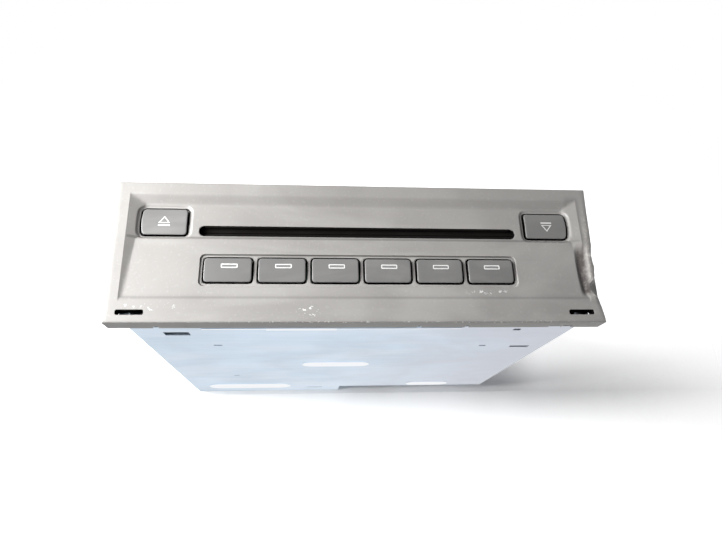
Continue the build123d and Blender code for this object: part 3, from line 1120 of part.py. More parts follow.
with BuildPart() as pickup_sled:
    sled_x = (SLED_X, SLED_X + SLED_LENGTH)
    block(sled_x, (DISC_Y - ROD_SPREAD - 2.6, DISC_Y + ROD_SPREAD + 2.6),
          (ROD_Z - SLED_HEIGHT / 2, ROD_Z + 2.2))
    block((sled_x[0] + 4, sled_x[1] - 2), (DISC_Y - 9, DISC_Y + 9), (ROD_Z, DECK_TOP + 0.6))
    block((sled_x[0] + 6, sled_x[1] - 6), (DISC_Y + ROD_SPREAD, SCREW_Y + 2.4), (ROD_Z - 2, ROD_Z + 2))
    for rod_y in (DISC_Y - ROD_SPREAD, DISC_Y + ROD_SPREAD):
        bar_x(ROD_RADIUS + RUNNING_CLEARANCE, sled_x, rod_y, ROD_Z, Mode.SUBTRACT)
    bar_x(LEAD_SCREW_RADIUS + RUNNING_CLEARANCE, sled_x, SCREW_Y, ROD_Z, Mode.SUBTRACT)
    lens_x = sled_x[0] + SLED_LENGTH / 2 + 1
    bar_z(LENS_RADIUS, lens_x, DISC_Y, (DECK_TOP - 0.4, DECK_TOP + 0.6), Mode.SUBTRACT)
keep(pickup_sled, "pickup_sled")

with BuildPart() as pickup_lens:
    bar_z(LENS_RADIUS, lens_x, DISC_Y, (DECK_TOP - 0.4, DECK_TOP + 0.8))
    fillet(pickup_lens.faces().sort_by(Axis.Z)[-1].edges(), 0.35)
keep(pickup_lens, "pickup_lens")

with BuildPart() as lead_screw:
    bar_x(LEAD_SCREW_RADIUS, (SLED_MOTOR_X[1], ROD_ENDS[1]), SCREW_Y, ROD_Z)
    bar_x(MOTOR_SHAFT_RADIUS, (SLED_MOTOR_X[1] - 3, SLED_MOTOR_X[1]), SCREW_Y, ROD_Z)
keep(lead_screw, "lead_screw")

with BuildPart() as sled_motor:
    motor(SLED_MOTOR_X, SCREW_Y, ROD_Z, SLED_MOTOR_RADIUS, 1)
keep(sled_motor, "sled_motor")
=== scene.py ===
"""Looks of a car disc changer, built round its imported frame: bezel, keys, finishes, light and camera.

Sizes in the classes are millimetres in the part's own frame: +X to the right, +Y to the rear, +Z up.
"""

import json
import logging
import math
from dataclasses import dataclass, field
from enum import Enum

import bpy
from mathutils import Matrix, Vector, noise


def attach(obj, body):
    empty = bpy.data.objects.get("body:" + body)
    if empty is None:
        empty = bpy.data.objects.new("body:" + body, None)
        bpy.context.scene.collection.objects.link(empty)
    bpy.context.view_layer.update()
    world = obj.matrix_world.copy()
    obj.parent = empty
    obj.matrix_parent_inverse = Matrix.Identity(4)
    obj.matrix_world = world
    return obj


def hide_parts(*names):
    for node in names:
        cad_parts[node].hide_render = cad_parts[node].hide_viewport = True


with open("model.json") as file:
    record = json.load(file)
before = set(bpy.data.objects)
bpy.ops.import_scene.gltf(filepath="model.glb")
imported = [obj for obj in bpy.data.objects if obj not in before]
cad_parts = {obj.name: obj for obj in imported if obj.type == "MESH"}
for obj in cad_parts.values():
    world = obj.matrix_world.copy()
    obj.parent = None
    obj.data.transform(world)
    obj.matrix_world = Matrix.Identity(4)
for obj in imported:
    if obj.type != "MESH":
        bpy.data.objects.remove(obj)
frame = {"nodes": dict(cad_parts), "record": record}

MM = 0.001
log = logging.getLogger("disc_changer")
Triple = tuple[float, float, float]
Pair = tuple[float, float]
Socket = bpy.types.NodeSocket


# ---------------------------------------------------------------- node graphs
class Graph:
    """Adds nodes to a node tree and feeds their inputs with values or other sockets."""

    def __init__(self, tree: bpy.types.NodeTree) -> None:
        """Keeps the tree that the nodes go into."""
        self.tree = tree

    def add(self, kind: str, inputs: dict | None = None, **settings: object) -> bpy.types.Node:
        """Adds one node.

        Args:
            kind: the node's type name.
            inputs: values or sockets by input name or number.
            settings: the node's own properties.

        Returns:
            The new node.
        """
        node = self.tree.nodes.new(kind)
        for name, value in settings.items():
            setattr(node, name, value)
        for name, value in (inputs or {}).items():
            if isinstance(value, Socket):
                self.tree.links.new(value, node.inputs[name])
            else:
                node.inputs[name].default_value = value
        return node

    def math(self, operation: str, *values: object) -> Socket:
        """Returns the result of a Math node on one to three values."""
        return self.add("ShaderNodeMath", dict(enumerate(values)), operation=operation).outputs[0]

    def blend(self, amount: object, low: object, high: object) -> Socket:
        """Returns a colour mixed from low to high."""
        return self.add("ShaderNodeMix", {0: amount, 6: low, 7: high}, data_type="RGBA").outputs[2]

    def remap(self, value: object, start: float, end: float, low: object = 0.0, high: object = 1.0):
        """Returns a value carried smoothly from one range to another."""
        inputs = {0: value, 1: start, 2: end, 3: low, 4: high}
        return self.add("ShaderNodeMapRange", inputs, interpolation_type="SMOOTHSTEP").outputs[0]

    def noise(self, vector: object, scale: object, detail: float = 3.0, distortion: float = 0.0):
        """Returns the value of a noise texture."""
        inputs = {"Vector": vector, "Scale": scale, "Detail": detail, "Distortion": distortion}
        return self.add("ShaderNodeTexNoise", inputs).outputs[0]


class Effects:
    """The shader node groups that several finishes share; each is built once."""

    made: dict[str, bpy.types.NodeTree] = {}

    @classmethod
    def group(cls, name: str, sockets: tuple[str, ...], outputs: tuple[str, ...]) -> tuple[Graph, dict,
                                                                                           bpy.types.Node]:
        """Starts a node group.

        Args:
            name: the group's name.
            sockets: its number inputs, after the vector.
            outputs: its number outputs.

        Returns:
            The graph, the inputs by name and the output node.
        """
        tree = bpy.data.node_groups.new(name, "ShaderNodeTree")
        tree.interface.new_socket("Vector", in_out="INPUT", socket_type="NodeSocketVector")
        for socket in sockets:
            tree.interface.new_socket(socket, in_out="INPUT", socket_type="NodeSocketFloat")
        for socket in outputs:
            tree.interface.new_socket(socket, in_out="OUTPUT", socket_type="NodeSocketFloat")
        graph = Graph(tree)
        source = graph.add("NodeGroupInput")
        cls.made[name] = tree
        return graph, {socket.name: socket for socket in source.outputs}, graph.add("NodeGroupOutput")

    @classmethod
    def grain(cls) -> bpy.types.NodeTree:
        """Returns the moulded or rolled grain: a fine height and a slow drift of tone."""
        if "surface_grain" not in cls.made:
            graph, inputs, sink = cls.group("surface_grain", ("Scale",), ("Height", "Drift"))
            fine = graph.noise(inputs["Vector"], inputs["Scale"], 4.0)
            coarse = graph.noise(inputs["Vector"], graph.math("MULTIPLY", inputs["Scale"], 0.31), 2.0)
            height = graph.math("ADD", graph.math("MULTIPLY", fine, 0.65),
                                graph.math("MULTIPLY", coarse, 0.35))
            drift = graph.noise(inputs["Vector"], graph.math("MULTIPLY", inputs["Scale"], 0.012), 5.0, 0.4)
            graph.tree.links.new(height, sink.inputs["Height"])
            graph.tree.links.new(graph.remap(drift, 0.3, 0.7), sink.inputs["Drift"])
        return cls.made["surface_grain"]

    @classmethod
    def smear(cls) -> bpy.types.NodeTree:
        """Returns handling marks: wiped, drawn-out cloudy patches."""
        if "handling_smear" not in cls.made:
            graph, inputs, sink = cls.group("handling_smear", ("Scale", "Amount"), ("Mask",))
            drawn = graph.add("ShaderNodeMapping", {"Vector": inputs["Vector"], "Rotation": (0.0, 0.5, 0.3),
                                                    "Scale": (0.45, 1.0, 1.6)}).outputs[0]
            cloud = graph.noise(drawn, inputs["Scale"], 6.0, 1.2)
            mask = graph.math("MULTIPLY", graph.remap(cloud, 0.42, 0.66), inputs["Amount"])
            graph.tree.links.new(mask, sink.inputs["Mask"])
        return cls.made["handling_smear"]

    @classmethod
    def scratches(cls) -> bpy.types.NodeTree:
        """Returns fine scratches: thin contour lines of a drawn-out noise, broken up by a second one."""
        if "fine_scratches" not in cls.made:
            graph, inputs, sink = cls.group("fine_scratches", ("Scale", "Amount"), ("Mask",))
            turned = graph.add("ShaderNodeMapping",
                               {"Vector": inputs["Vector"], "Rotation": (0.4, 0.7, 0.9),
                                                     "Scale": (0.12, 1.0, 1.0)}).outputs[0]
            field_value = graph.noise(turned, inputs["Scale"], 1.0, 0.3)
            line = graph.remap(graph.math("ABSOLUTE", graph.math("SUBTRACT", field_value, 0.5)), 0.0,
                               0.006, 1.0, 0.0)
            gate = graph.remap(graph.noise(inputs["Vector"],
                                           graph.math("MULTIPLY", inputs["Scale"], 0.4), 3.0), 0.55, 0.7)
            mask = graph.math("MULTIPLY", graph.math("MULTIPLY", line, gate), inputs["Amount"])
            graph.tree.links.new(mask, sink.inputs["Mask"])
        return cls.made["fine_scratches"]


# ---------------------------------------------------------------- finishes
@dataclass(frozen=True)
class Finish:
    """A plain finish: its colour, a second colour for marks, gloss and grain. Sizes are millimetres."""

    name: str
    colour: Triple
    marked: Triple
    roughness: float = 0.5
    metallic: float = 0.0
    specular: float = 0.5
    coat: float = 0.0
    transmission: float = 0.0
    grain: float = 0.4
    relief: float = 0.01
    patch: float = 25.0
    smear: float = 0.35
    scratched: float = 0.25

    def tint(self, graph: Graph, place: Socket, colour: Socket) -> Socket:
        """Returns the colour with what this finish adds; a plain finish adds nothing."""
        return colour

    def material(self) -> bpy.types.Material:
        """Returns the finish's material, built the first time it is asked for."""
        title = f"{self.name}_finish"
        known = bpy.data.materials.get(title)
        if known:
            return known
        made = bpy.data.materials.new(title)
        made.use_nodes = True
        made.node_tree.nodes.clear()
        graph = Graph(made.node_tree)
        place = graph.add("ShaderNodeTexCoord").outputs["Object"]
        grain = graph.add("ShaderNodeGroup", node_tree=Effects.grain())
        smear = graph.add("ShaderNodeGroup", node_tree=Effects.smear())
        scratch = graph.add("ShaderNodeGroup", node_tree=Effects.scratches())
        for node, values in ((grain, {"Scale": 1 / (self.grain * MM)}),
                             (smear, {"Scale": 1 / (self.patch * MM), "Amount": self.smear}),
                             (scratch, {"Scale": 1 / (self.patch * 0.4 * MM), "Amount": self.scratched})):
            graph.tree.links.new(place, node.inputs["Vector"])
            for name, value in values.items():
                node.inputs[name].default_value = value
        shade = tuple(0.86 * part for part in self.colour)
        base = graph.blend(grain.outputs["Drift"], (*shade, 1.0), (*self.colour, 1.0))
        base = graph.blend(smear.outputs["Mask"], base, (*self.marked, 1.0))
        base = graph.blend(scratch.outputs["Mask"], base, (*self.marked, 1.0))
        # Painted shade: a per-point attribute darkens the colour nearly to black and takes away the gloss
        # in the gaps round the keys, down the openings, in the hollow back and along dark lines on the
        # bezel face.
        painted_shade = graph.add("ShaderNodeAttribute", attribute_name="painted_shade").outputs["Fac"]
        base = graph.blend(painted_shade, self.tint(graph, place, base), (0.004, 0.004, 0.004, 1.0))
        gloss = graph.math("MULTIPLY", graph.math("SUBTRACT", 1.0, painted_shade), self.specular)
        rough = graph.remap(smear.outputs["Mask"], 0.0, 1.0, self.roughness, min(1.0, self.roughness + 0.2))
        height = graph.math("SUBTRACT", grain.outputs["Height"],
                            graph.math("MULTIPLY", scratch.outputs["Mask"], 0.8))
        bump = graph.add("ShaderNodeBump",
                         {"Strength": 0.7, "Distance": self.relief * MM, "Height": height})
        shader = graph.add("ShaderNodeBsdfPrincipled", {
            "Base Color": base, "Roughness": rough, "Metallic": self.metallic,
            "Specular IOR Level": gloss, "Coat Weight": self.coat, "Coat Roughness": 0.25,
            "Transmission Weight": self.transmission, "Normal": bump.outputs[0]})
        sink = graph.add("ShaderNodeOutputMaterial")
        graph.tree.links.new(shader.outputs[0], sink.inputs["Surface"])
        return made


@dataclass(frozen=True)
class BezelFinish(Finish):
    """The bezel's satin plastic; its torn, whitened and rubbed places, and the painted shade in its gouge,
    are kept in the mesh's attributes.
    """

    torn: Triple = (0.55, 0.53, 0.49)
    gouge_shade: Triple = (0.055, 0.045, 0.042)

    def tint(self, graph: Graph, place: Socket, colour: Socket) -> Socket:
        """Returns the colour with the torn rim, the painted shade in the gouge and the rubbed specks laid
        over it.
        """
        speckle = graph.remap(graph.noise(place, 1 / (0.9 * MM), 4.0), 0.45, 0.62, 0.35, 1.0)
        pale = graph.add("ShaderNodeAttribute", attribute_name="whitening").outputs["Fac"]
        colour = graph.blend(graph.math("MULTIPLY", pale, speckle), colour, (*self.torn, 1.0))
        # Painted shade: the gouge beside the torn rim is darkened nearly to black, streaked by noise.
        gouge_shade_mask = graph.add("ShaderNodeAttribute", attribute_name="gouge_and_shade").outputs["Fac"]
        streak = graph.remap(graph.noise(place, 1 / (2.5 * MM), 3.0, 0.8), 0.3, 0.6, 0.65, 1.0)
        colour = graph.blend(graph.math("MULTIPLY", gouge_shade_mask, streak), colour, (*self.gouge_shade, 1.0))
        rubbed = graph.add("ShaderNodeAttribute", attribute_name="rubbed").outputs["Fac"]
        speck = graph.remap(graph.noise(place, 1 / (1.1 * MM), 2.0, 0.6), 0.6, 0.66)
        return graph.blend(graph.math("MULTIPLY", rubbed, speck), colour, (0.8, 0.8, 0.79, 1.0))


@dataclass(frozen=True)
class CaseFinish(Finish):
    """Zinc-plated sheet with rolling streaks, greyer and darker towards +X; its bluish cast is a painted
    reflection of sky light, and what reaches below its underside's level gets a painted highlight.
    """

    # The colour that the sheet turns towards at its +X end, greyer and darker.
    darker_end: Triple = (0.50, 0.50, 0.56)
    # Painted highlight: its colour, and the level below which it is painted.
    strip: Triple = (0.93, 0.95, 0.98)
    highlight_level: float = -26.1

    def tint(self, graph: Graph, place: Socket, colour: Socket) -> Socket:
        """Returns the colour with rolling streaks, greyer and darker towards +X, and a painted highlight
        below the underside's level.
        """
        rolled = graph.add("ShaderNodeMapping", {"Vector": place, "Scale": (0.25, 3.0, 3.0)}).outputs[0]
        streak = graph.remap(graph.noise(rolled, 1 / (9.0 * MM), 5.0, 0.2), 0.4, 0.75, 0.0, 0.14)
        colour = graph.blend(streak, colour, (0.86, 0.90, 0.95, 1.0))
        axes = graph.add("ShaderNodeSeparateXYZ", {0: place})
        # Greyer and darker towards +X, along a cloudy edge.
        cloud = graph.noise(place, 1 / (28.0 * MM), 6.0, 0.8)
        far = graph.math("ADD", axes.outputs[0],
                         graph.math("MULTIPLY", graph.math("SUBTRACT", cloud, 0.5), 0.10))
        colour = graph.blend(graph.remap(far, -0.02, 0.095, 0.0, 0.75), colour, (*self.darker_end, 1.0))
        # Painted highlight: pressed beads and lips that reach below the underside's level are painted near
        # white.
        level = self.highlight_level * MM
        proud = graph.remap(axes.outputs[2], level, level - 0.2 * MM, 0.0, 1.0)
        return graph.blend(proud, colour, (*self.strip, 1.0))


class Finishes(Enum):
    """The finishes of the changer, by the record's material slot."""

    BEZEL = BezelFinish("bezel_plastic", (0.300, 0.290, 0.278), (0.40, 0.39, 0.375), roughness=0.42,
                        grain=0.35,
                        relief=0.008, patch=40.0, smear=0.4, scratched=0.15)
    KEY = Finish("key_plastic", (0.165, 0.163, 0.160), (0.24, 0.238, 0.23), roughness=0.40, grain=0.3,
                 relief=0.006,
                 patch=18.0, smear=0.3, scratched=0.3)
    PRINT = Finish("white_print", (0.78, 0.78, 0.76), (0.6, 0.6, 0.59), roughness=0.45, grain=0.2,
                   relief=0.003,
                   patch=4.0, smear=0.3, scratched=0.2)
    WINDOW = Finish("light_window", (0.20, 0.20, 0.20), (0.30, 0.30, 0.29), roughness=0.25, grain=0.5,
                    relief=0.002,
                    patch=5.0, smear=0.3, scratched=0.1, coat=0.4)
    FELT = Finish("slot_felt", (0.007, 0.006, 0.0055), (0.012, 0.011, 0.010), roughness=0.95,
                  specular=0.05, grain=0.25,
                  relief=0.08, patch=9.0, smear=0.4, scratched=0.0)
    BOARD = Finish("circuit_board", (0.030, 0.150, 0.070), (0.05, 0.20, 0.10), roughness=0.35, grain=0.8,
                   relief=0.01, patch=14.0, smear=0.25, scratched=0.1, coat=0.3)
    BLACK = Finish("black_moulding", (0.022, 0.022, 0.023), (0.07, 0.07, 0.07), roughness=0.48, grain=0.35,
                   relief=0.012, patch=15.0, smear=0.3, scratched=0.25)
    # The case's blue tint is a painted reflection of sky light on the plated steel's own silver.
    CASE = CaseFinish("zinc_plated_case", (0.60, 0.73, 0.87), (0.78, 0.84, 0.92), roughness=0.32,
                      metallic=0.88,
                      grain=0.5, relief=0.004, patch=32.0, smear=0.4, scratched=0.35)
    BRIGHT = Finish("bright_steel", (0.72, 0.71, 0.69), (0.5, 0.49, 0.47), roughness=0.25, metallic=1.0,
                    grain=0.25,
                    relief=0.004, patch=8.0, smear=0.3, scratched=0.3)
    FRAME = Finish("plated_frame", (0.62, 0.61, 0.56), (0.45, 0.44, 0.40), roughness=0.34, metallic=0.9,
                   grain=0.4,
                   relief=0.006, patch=22.0, smear=0.35, scratched=0.3)
    SPRING = Finish("spring_strip", (0.42, 0.42, 0.43), (0.30, 0.29, 0.28), roughness=0.3,
                    metallic=0.95, grain=0.3,
                    relief=0.005, patch=12.0, smear=0.3, scratched=0.4)
    MOTOR = Finish("motor_can", (0.60, 0.61, 0.63), (0.45, 0.45, 0.46), roughness=0.28, metallic=0.95,
                   grain=0.3,
                   relief=0.004, patch=10.0, smear=0.3, scratched=0.3)
    GEAR = Finish("gear_acetal", (0.78, 0.77, 0.70), (0.60, 0.58, 0.50), roughness=0.38, grain=0.5,
                  relief=0.006,
                  patch=6.0, smear=0.25, scratched=0.1)
    BRASS = Finish("bright_brass", (0.76, 0.58, 0.26), (0.5, 0.38, 0.16), roughness=0.26, metallic=1.0,
                   grain=0.3,
                   relief=0.003, patch=5.0, smear=0.3, scratched=0.2)
    RUBBER = Finish("soft_rubber", (0.032, 0.032, 0.033), (0.09, 0.09, 0.09), roughness=0.8,
                    specular=0.3, grain=0.3,
                    relief=0.02, patch=9.0, smear=0.35, scratched=0.1)
    TRAY = Finish("tray_moulding", (0.055, 0.055, 0.06), (0.12, 0.12, 0.125), roughness=0.42, grain=0.4,
                  relief=0.01,
                  patch=24.0, smear=0.3, scratched=0.3)
    FLEX = Finish("flex_film", (0.42, 0.20, 0.04), (0.55, 0.32, 0.10), roughness=0.3, grain=0.8,
                  relief=0.004,
                  patch=9.0, smear=0.25, scratched=0.1, coat=0.3)
    LENS = Finish("pickup_glass", (0.62, 0.74, 0.86), (0.5, 0.6, 0.7), roughness=0.05,
                  transmission=0.85, grain=0.8,
                  relief=0.001, patch=3.0, smear=0.15, scratched=0.05)


SLOTS = {
    "bezel_plastic": Finishes.BEZEL, "key_plastic": Finishes.KEY, "felt": Finishes.FELT,
    "board": Finishes.BOARD,
    "black_plastic": Finishes.BLACK, "case_steel": Finishes.CASE, "bright_steel": Finishes.BRIGHT,
    "frame_steel": Finishes.FRAME, "spring_steel": Finishes.SPRING, "motor_can": Finishes.MOTOR,
    "gear_plastic": Finishes.GEAR, "brass": Finishes.BRASS, "rubber": Finishes.RUBBER,
    "tray_plastic": Finishes.TRAY,
    "flex": Finishes.FLEX, "lens": Finishes.LENS,
}


# ---------------------------------------------------------------- meshes
@dataclass
class Shape:
    """A mesh in the making, in millimetres: its points, its faces and its numbers for each point."""

    points: list[Triple] = field(default_factory=list)
    faces: list[tuple[int, ...]] = field(default_factory=list)
    marks: dict[str, dict[int, float]] = field(default_factory=dict)

    def point(self, x: float, y: float, z: float) -> int:
        """Adds a point and returns its number."""
        self.points.append((x, y, z))
        return len(self.points) - 1

    def mark(self, name: str, index: int, value: float) -> None:
        """Notes a number between 0 and 1 for a point."""
        self.marks.setdefault(name, {})[index] = value

    def loop_wall(self, front: list[int], back: list[int]) -> None:
        """Joins two loops of equal length with a closed band of faces."""
        count = len(front)
        for step in range(count):
            after = (step + 1) % count
            self.faces.append((front[step], back[step], back[after], front[after]))

    def block(self, x: Pair, y: Pair, z: Pair) -> None:
        """Adds a plain box between limits."""
        corners = [self.point(a, b, c) for a in x for b in y for c in z]
        for face in ((0, 1, 3, 2), (4, 6, 7, 5), (0, 4, 5, 1), (2, 3, 7, 6), (0, 2, 6, 4), (1, 5, 7, 3)):
            self.faces.append(tuple(corners[index] for index in face))

    def round_bar(self, radius: float, x: float, y: Pair, z: float, sides: int = 24) -> None:
        """Adds a round bar along Y."""
        rings = [[self.point(x + radius * math.cos(2 * math.pi * n / sides), end,
                             z + radius * math.sin(2 * math.pi * n / sides)) for n in range(sides)]
                 for end in y]
        self.loop_wall(rings[0], rings[1])
        self.faces += [tuple(rings[0]), tuple(reversed(rings[1]))]

    def mesh(self, name: str, sharp: float = 34.0) -> bpy.types.Mesh:
        """Returns the mesh in metres, smooth-shaded but for edges sharper than an angle in degrees."""
        made = bpy.data.meshes.new(name)
        made.from_pydata([tuple(MM * part for part in point) for point in self.points], [], self.faces)
        for title, values in self.marks.items():
            layer = made.attributes.new(title, "FLOAT", "POINT")
            for index, value in values.items():
                layer.data[index].value = value
        for polygon in made.polygons:
            polygon.use_smooth = True
        made.set_sharp_from_angle(angle=math.radians(sharp))
        return made


def place_piece(mesh: bpy.types.Mesh, name: str, body: str, finish: Finishes,
                replaced: tuple[str, ...] = ()) -> bpy.types.Object:
    """Puts a finished mesh into the scene as a piece of the changer.

    Args:
        mesh: the mesh, in metres in the shared frame.
        name: the piece's name.
        body: the body it rides on.
        finish: the finish it gets.
        replaced: the frame's nodes it stands for.

    Returns:
        The new object.
    """
    mesh.materials.clear()
    mesh.materials.append(finish.value.material())
    piece = bpy.data.objects.new(name, mesh)
    bpy.context.collection.objects.link(piece)
    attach(piece, body)
    if replaced:
        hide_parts(*replaced)
    log.info("piece %s on %s: %d faces", name, body, len(mesh.polygons))
    return piece


def spread(edges: list[float], low: float, high: float, gap: float) -> list[float]:
    """Returns mesh lines between two limits: the given ones, and more where a gap is exceeded."""
    kept: list[float] = []
    for edge in sorted(edge for edge in edges + [low, high] if low <= edge <= high):
        if not kept or edge - kept[-1] > 0.045:
            kept.append(edge)
    lines = [kept[0]]
    for start, end in zip(kept, kept[1:]):
        steps = max(1, math.ceil((end - start) / gap))
        lines += [start + (end - start) * step / steps for step in range(1, steps + 1)]
    return lines


def ease(value: float) -> float:
    """Returns a value limited to 0..1 and eased at both ends."""
    value = min(1.0, max(0.0, value))
    return value * value * (3 - 2 * value)


def between(table: tuple[Pair, ...], value: float) -> float:
    """Returns the height of a line through (place, height) pairs at a place, level beyond its ends."""
    if value <= table[0][0]:
        return table[0][1]
    for (start, low), (end, high) in zip(table, table[1:]):
        if value <= end:
            return low + (high - low) * (value - start) / (end - start)
    return table[-1][1]


@dataclass(frozen=True)
class Outline:
    """A rounded rectangle in the XZ plane; one of its sides may be bowed outwards."""

    x: float
    z: float
    width: float
    height: float
    corner: float
    bow: float = 0.0
    bow_side: int = 0

    def grown(self, by: float) -> "Outline":
        """Returns the outline moved outwards by a distance."""
        return Outline(self.x, self.z, self.width + 2 * by, self.height + 2 * by, self.corner + by,
                       self.bow,
                       self.bow_side)

    def distance(self, x: float, z: float) -> float:
        """Returns how far a place lies outside the outline; inside it is negative."""
        across = self.bow_side * (x - self.x)
        if across > 0:
            lean = max(0.0, 1 - (2 * (z - self.z) / self.height) ** 2)
            x -= self.bow_side * self.bow * lean * min(1.0, 2 * across / self.width)
        right = abs(x - self.x) - self.width / 2 + self.corner
        up = abs(z - self.z) - self.height / 2 + self.corner
        return math.hypot(max(right, 0.0), max(up, 0.0)) + min(max(right, up), 0.0) - self.corner

    def onto(self, x: float, z: float) -> Pair:
        """Returns the nearest place on the outline."""
        for _ in range(3):
            here = self.distance(x, z)
            slope_x = (self.distance(x + 0.01, z) - here) / 0.01
            slope_z = (self.distance(x, z + 0.01) - here) / 0.01
            length = max(0.2, math.hypot(slope_x, slope_z))
            x, z = x - here * slope_x / length ** 2, z - here * slope_z / length ** 2
        return x, z

    def lines(self, across: bool, offsets: tuple[float, ...]) -> list[float]:
        """Returns mesh lines at offsets outside both ends of the outline, along X or along Z."""
        middle, half = (self.x, self.width / 2) if across else (self.z, self.height / 2)
        half += self.bow if across else 0.0
        return [middle + side * (half + offset) for side in (-1, 1) for offset in offsets]


# ---------------------------------------------------------------- keys
@dataclass(frozen=True)
class KeyPlan:
    """Where a key sits and how its cap is shaped."""

    name: str
    outline: Outline
    front: float
    gap: float = 0.6
    crown: float = 32.0
    edge: float = 0.32
    flange: float = -3.4

    def surface(self, x: float, z: float) -> float:
        """Returns the y of the cap's front at a place: crowned, and rounded over towards its edge."""
        inside = -self.outline.distance(x, z)
        turn = self.edge - math.sqrt(max(0.0, self.edge ** 2 - max(0.0, self.edge - max(0.0, inside)) ** 2))
        return self.front + (z - self.outline.z) ** 2 / (2 * self.crown) + turn

    def half_widths(self, z: float) -> Pair:
        """Returns how far the cap reaches to the left and right of its middle at a height."""
        reach = []
        for side in (-1, 1):
            low, high = 0.0, self.outline.width
            for _ in range(26):
                middle = (low + high) / 2
                if self.outline.distance(self.outline.x + side * middle, z) < 0:
                    low = middle
                else:
                    high = middle
            reach.append(low)
        return reach[0], reach[1]


class Symbol(Enum):
    """The generic sign that a key bears."""

    EJECT = "eject"
    INSERT = "insert"
    WINDOW = "window"


@dataclass
class Key:
    """One pressable key: its cap with flange and plunger, and the sign on it."""

    plan: KeyPlan
    symbol: Symbol
    steps: tuple[float, ...] = (0.0, 0.04, 0.10, 0.19, 0.32, 0.7, 1.3)
    proud: float = 0.035
    sunk: float = 0.12
    window: Pair = (0.5, 1.53)

    def cap(self) -> Shape:
        """Returns the cap: a fine crowned front, straight sides, its flange and its plunger."""
        plan, outline, shape = self.plan, self.plan.outline, Shape()
        half = outline.height / 2
        levels = spread([outline.z + side * (half - step) for side in (-1, 1) for step in self.steps],
                        outline.z - half, outline.z + half, 0.8)
        rows = []
        for z in levels:
            left, right = plan.half_widths(min(max(z, outline.z - half + 1e-4), outline.z + half - 1e-4))
            share = [step / 9.0 for step in self.steps] + [0.25, 0.4, 0.55, 0.7, 0.85]
            places = [outline.x - left * (1 - part) for part in share] + [outline.x]
            places += [outline.x + right * (1 - part) for part in reversed(share)]
            rows.append([shape.point(x, plan.surface(x, z), z) for x in places])
        for lower, upper in zip(rows, rows[1:]):
            for n in range(len(lower) - 1):
                shape.faces.append((lower[n], lower[n + 1], upper[n + 1], upper[n]))
        rim = rows[0] + [row[-1] for row in rows[1:]] + rows[-1][-2::-1] + [row[0] for row in rows[-2:0:-1]]
        side = [shape.point(shape.points[n][0], shape.points[n][1] + 0.05, shape.points[n][2]) for n in rim]
        back = [shape.point(shape.points[n][0], plan.flange, shape.points[n][2]) for n in rim]
        # Painted shade: the cap's sides and back are painted black and its rim nearly black, standing in
        # for the shade in the gap round the key.
        for index in side + back:
            shape.mark("painted_shade", index, 1.0)
        for index in rim:
            shape.mark("painted_shade", index, 0.85)
        shape.loop_wall(rim, side)
        shape.loop_wall(side, back)
        shape.faces.append(tuple(reversed(back)))
        x, z = outline.x, outline.z
        shape.block((x - outline.width / 2 + 0.01, x + outline.width / 2 - 0.01),
                    (plan.flange, plan.flange + 1.0),
                    (z - half - 0.9, z + half + 0.9))
        shape.round_bar(1.4, x, (plan.flange + 1.0, 0.1), z)
        return shape

    def inlay(self, shape: Shape, outer: list[Pair], inner: list[Pair] | None = None) -> None:
        """Adds a thin printed form that follows the cap.

        Args:
            shape: the mesh it goes into.
            outer: its outline, counter-clockwise as seen from the front.
            inner: the outline of its hole, with as many places.
        """
        rings = []
        for loop in (outer, inner or []):
            front = [shape.point(x, self.plan.surface(x, z) - self.proud, z) for x, z in loop]
            back = [shape.point(x, self.plan.surface(x, z) + self.sunk, z) for x, z in loop]
            rings.append((front, back))
        (front, back), (hole_front, hole_back) = rings
        shape.loop_wall(front, back)
        if not inner:
            shape.faces += [tuple(front), tuple(reversed(back))]
            return
        shape.loop_wall(list(reversed(hole_front)), list(reversed(hole_back)))
        count = len(front)
        for n in range(count):
            after = (n + 1) % count
            shape.faces.append((front[n], front[after], hole_front[after], hole_front[n]))
            shape.faces.append((back[after], back[n], hole_back[n], hole_back[after]))

    def triangle(self, x: float, z: float, half: float, height: float, line: float,
                 up: bool) -> tuple[list, list]:
        """Returns the outer and inner outlines of a triangle, divided along its sides."""
        turn = 1 if up else -1
        corners = [(-half, 0.0), (half, 0.0), (0.0, height)]
        centre = height / 3
        rings = []
        for shrink in (1.0, 1.0 - line * 3.0 / height):
            ring = []
            for (ax, az), (bx, bz) in zip(corners, corners[1:] + corners[:1]):
                for n in range(6):
                    px, pz = ax + (bx - ax) * n / 6, az + (bz - az) * n / 6
                    ring.append((x + turn * px * shrink, z + turn * (centre + (pz - centre) * shrink)))
            rings.append(ring)
        return rings[0], rings[1]

    def rounded(self, x: float, z: float, width: float, height: float, corner: float) -> list[Pair]:
        """Returns a rounded rectangle's outline, counter-clockwise, with places along its long sides."""
        ring = []
        for quarter, (sx, sz) in enumerate(((1, 1), (-1, 1), (-1, -1), (1, -1))):
            for n in range(6):
                angle = math.pi / 2 * (quarter + n / 5)
                ring.append((x + sx * (width / 2 - corner) + corner * math.cos(angle),
                             z + sz * (height / 2 - corner) + corner * math.sin(angle)))
        return ring

    def sign(self) -> Shape:
        """Returns the white sign."""
        shape, x, z = Shape(), self.plan.outline.x, self.plan.outline.z
        if self.symbol is Symbol.EJECT:
            self.inlay(shape, *self.triangle(x - 0.25, z - 0.68, 2.2, 2.9, 0.30, True))
            self.inlay(shape, self.rounded(x - 0.25, z - 1.60, 4.5, 0.6, 0.1))
        elif self.symbol is Symbol.INSERT:
            self.inlay(shape, *self.triangle(x + 0.6, z + 0.45, 2.2, 2.9, 0.30, False))
            self.inlay(shape, self.rounded(x + 0.6, z + 1.37, 4.5, 0.6, 0.1))
        else:
            x, z = x + self.window[0], z + self.window[1]
            self.inlay(shape, self.rounded(x, z, 6.25, 1.75, 0.4), self.rounded(x, z, 5.45, 0.95, 0.15))
        return shape

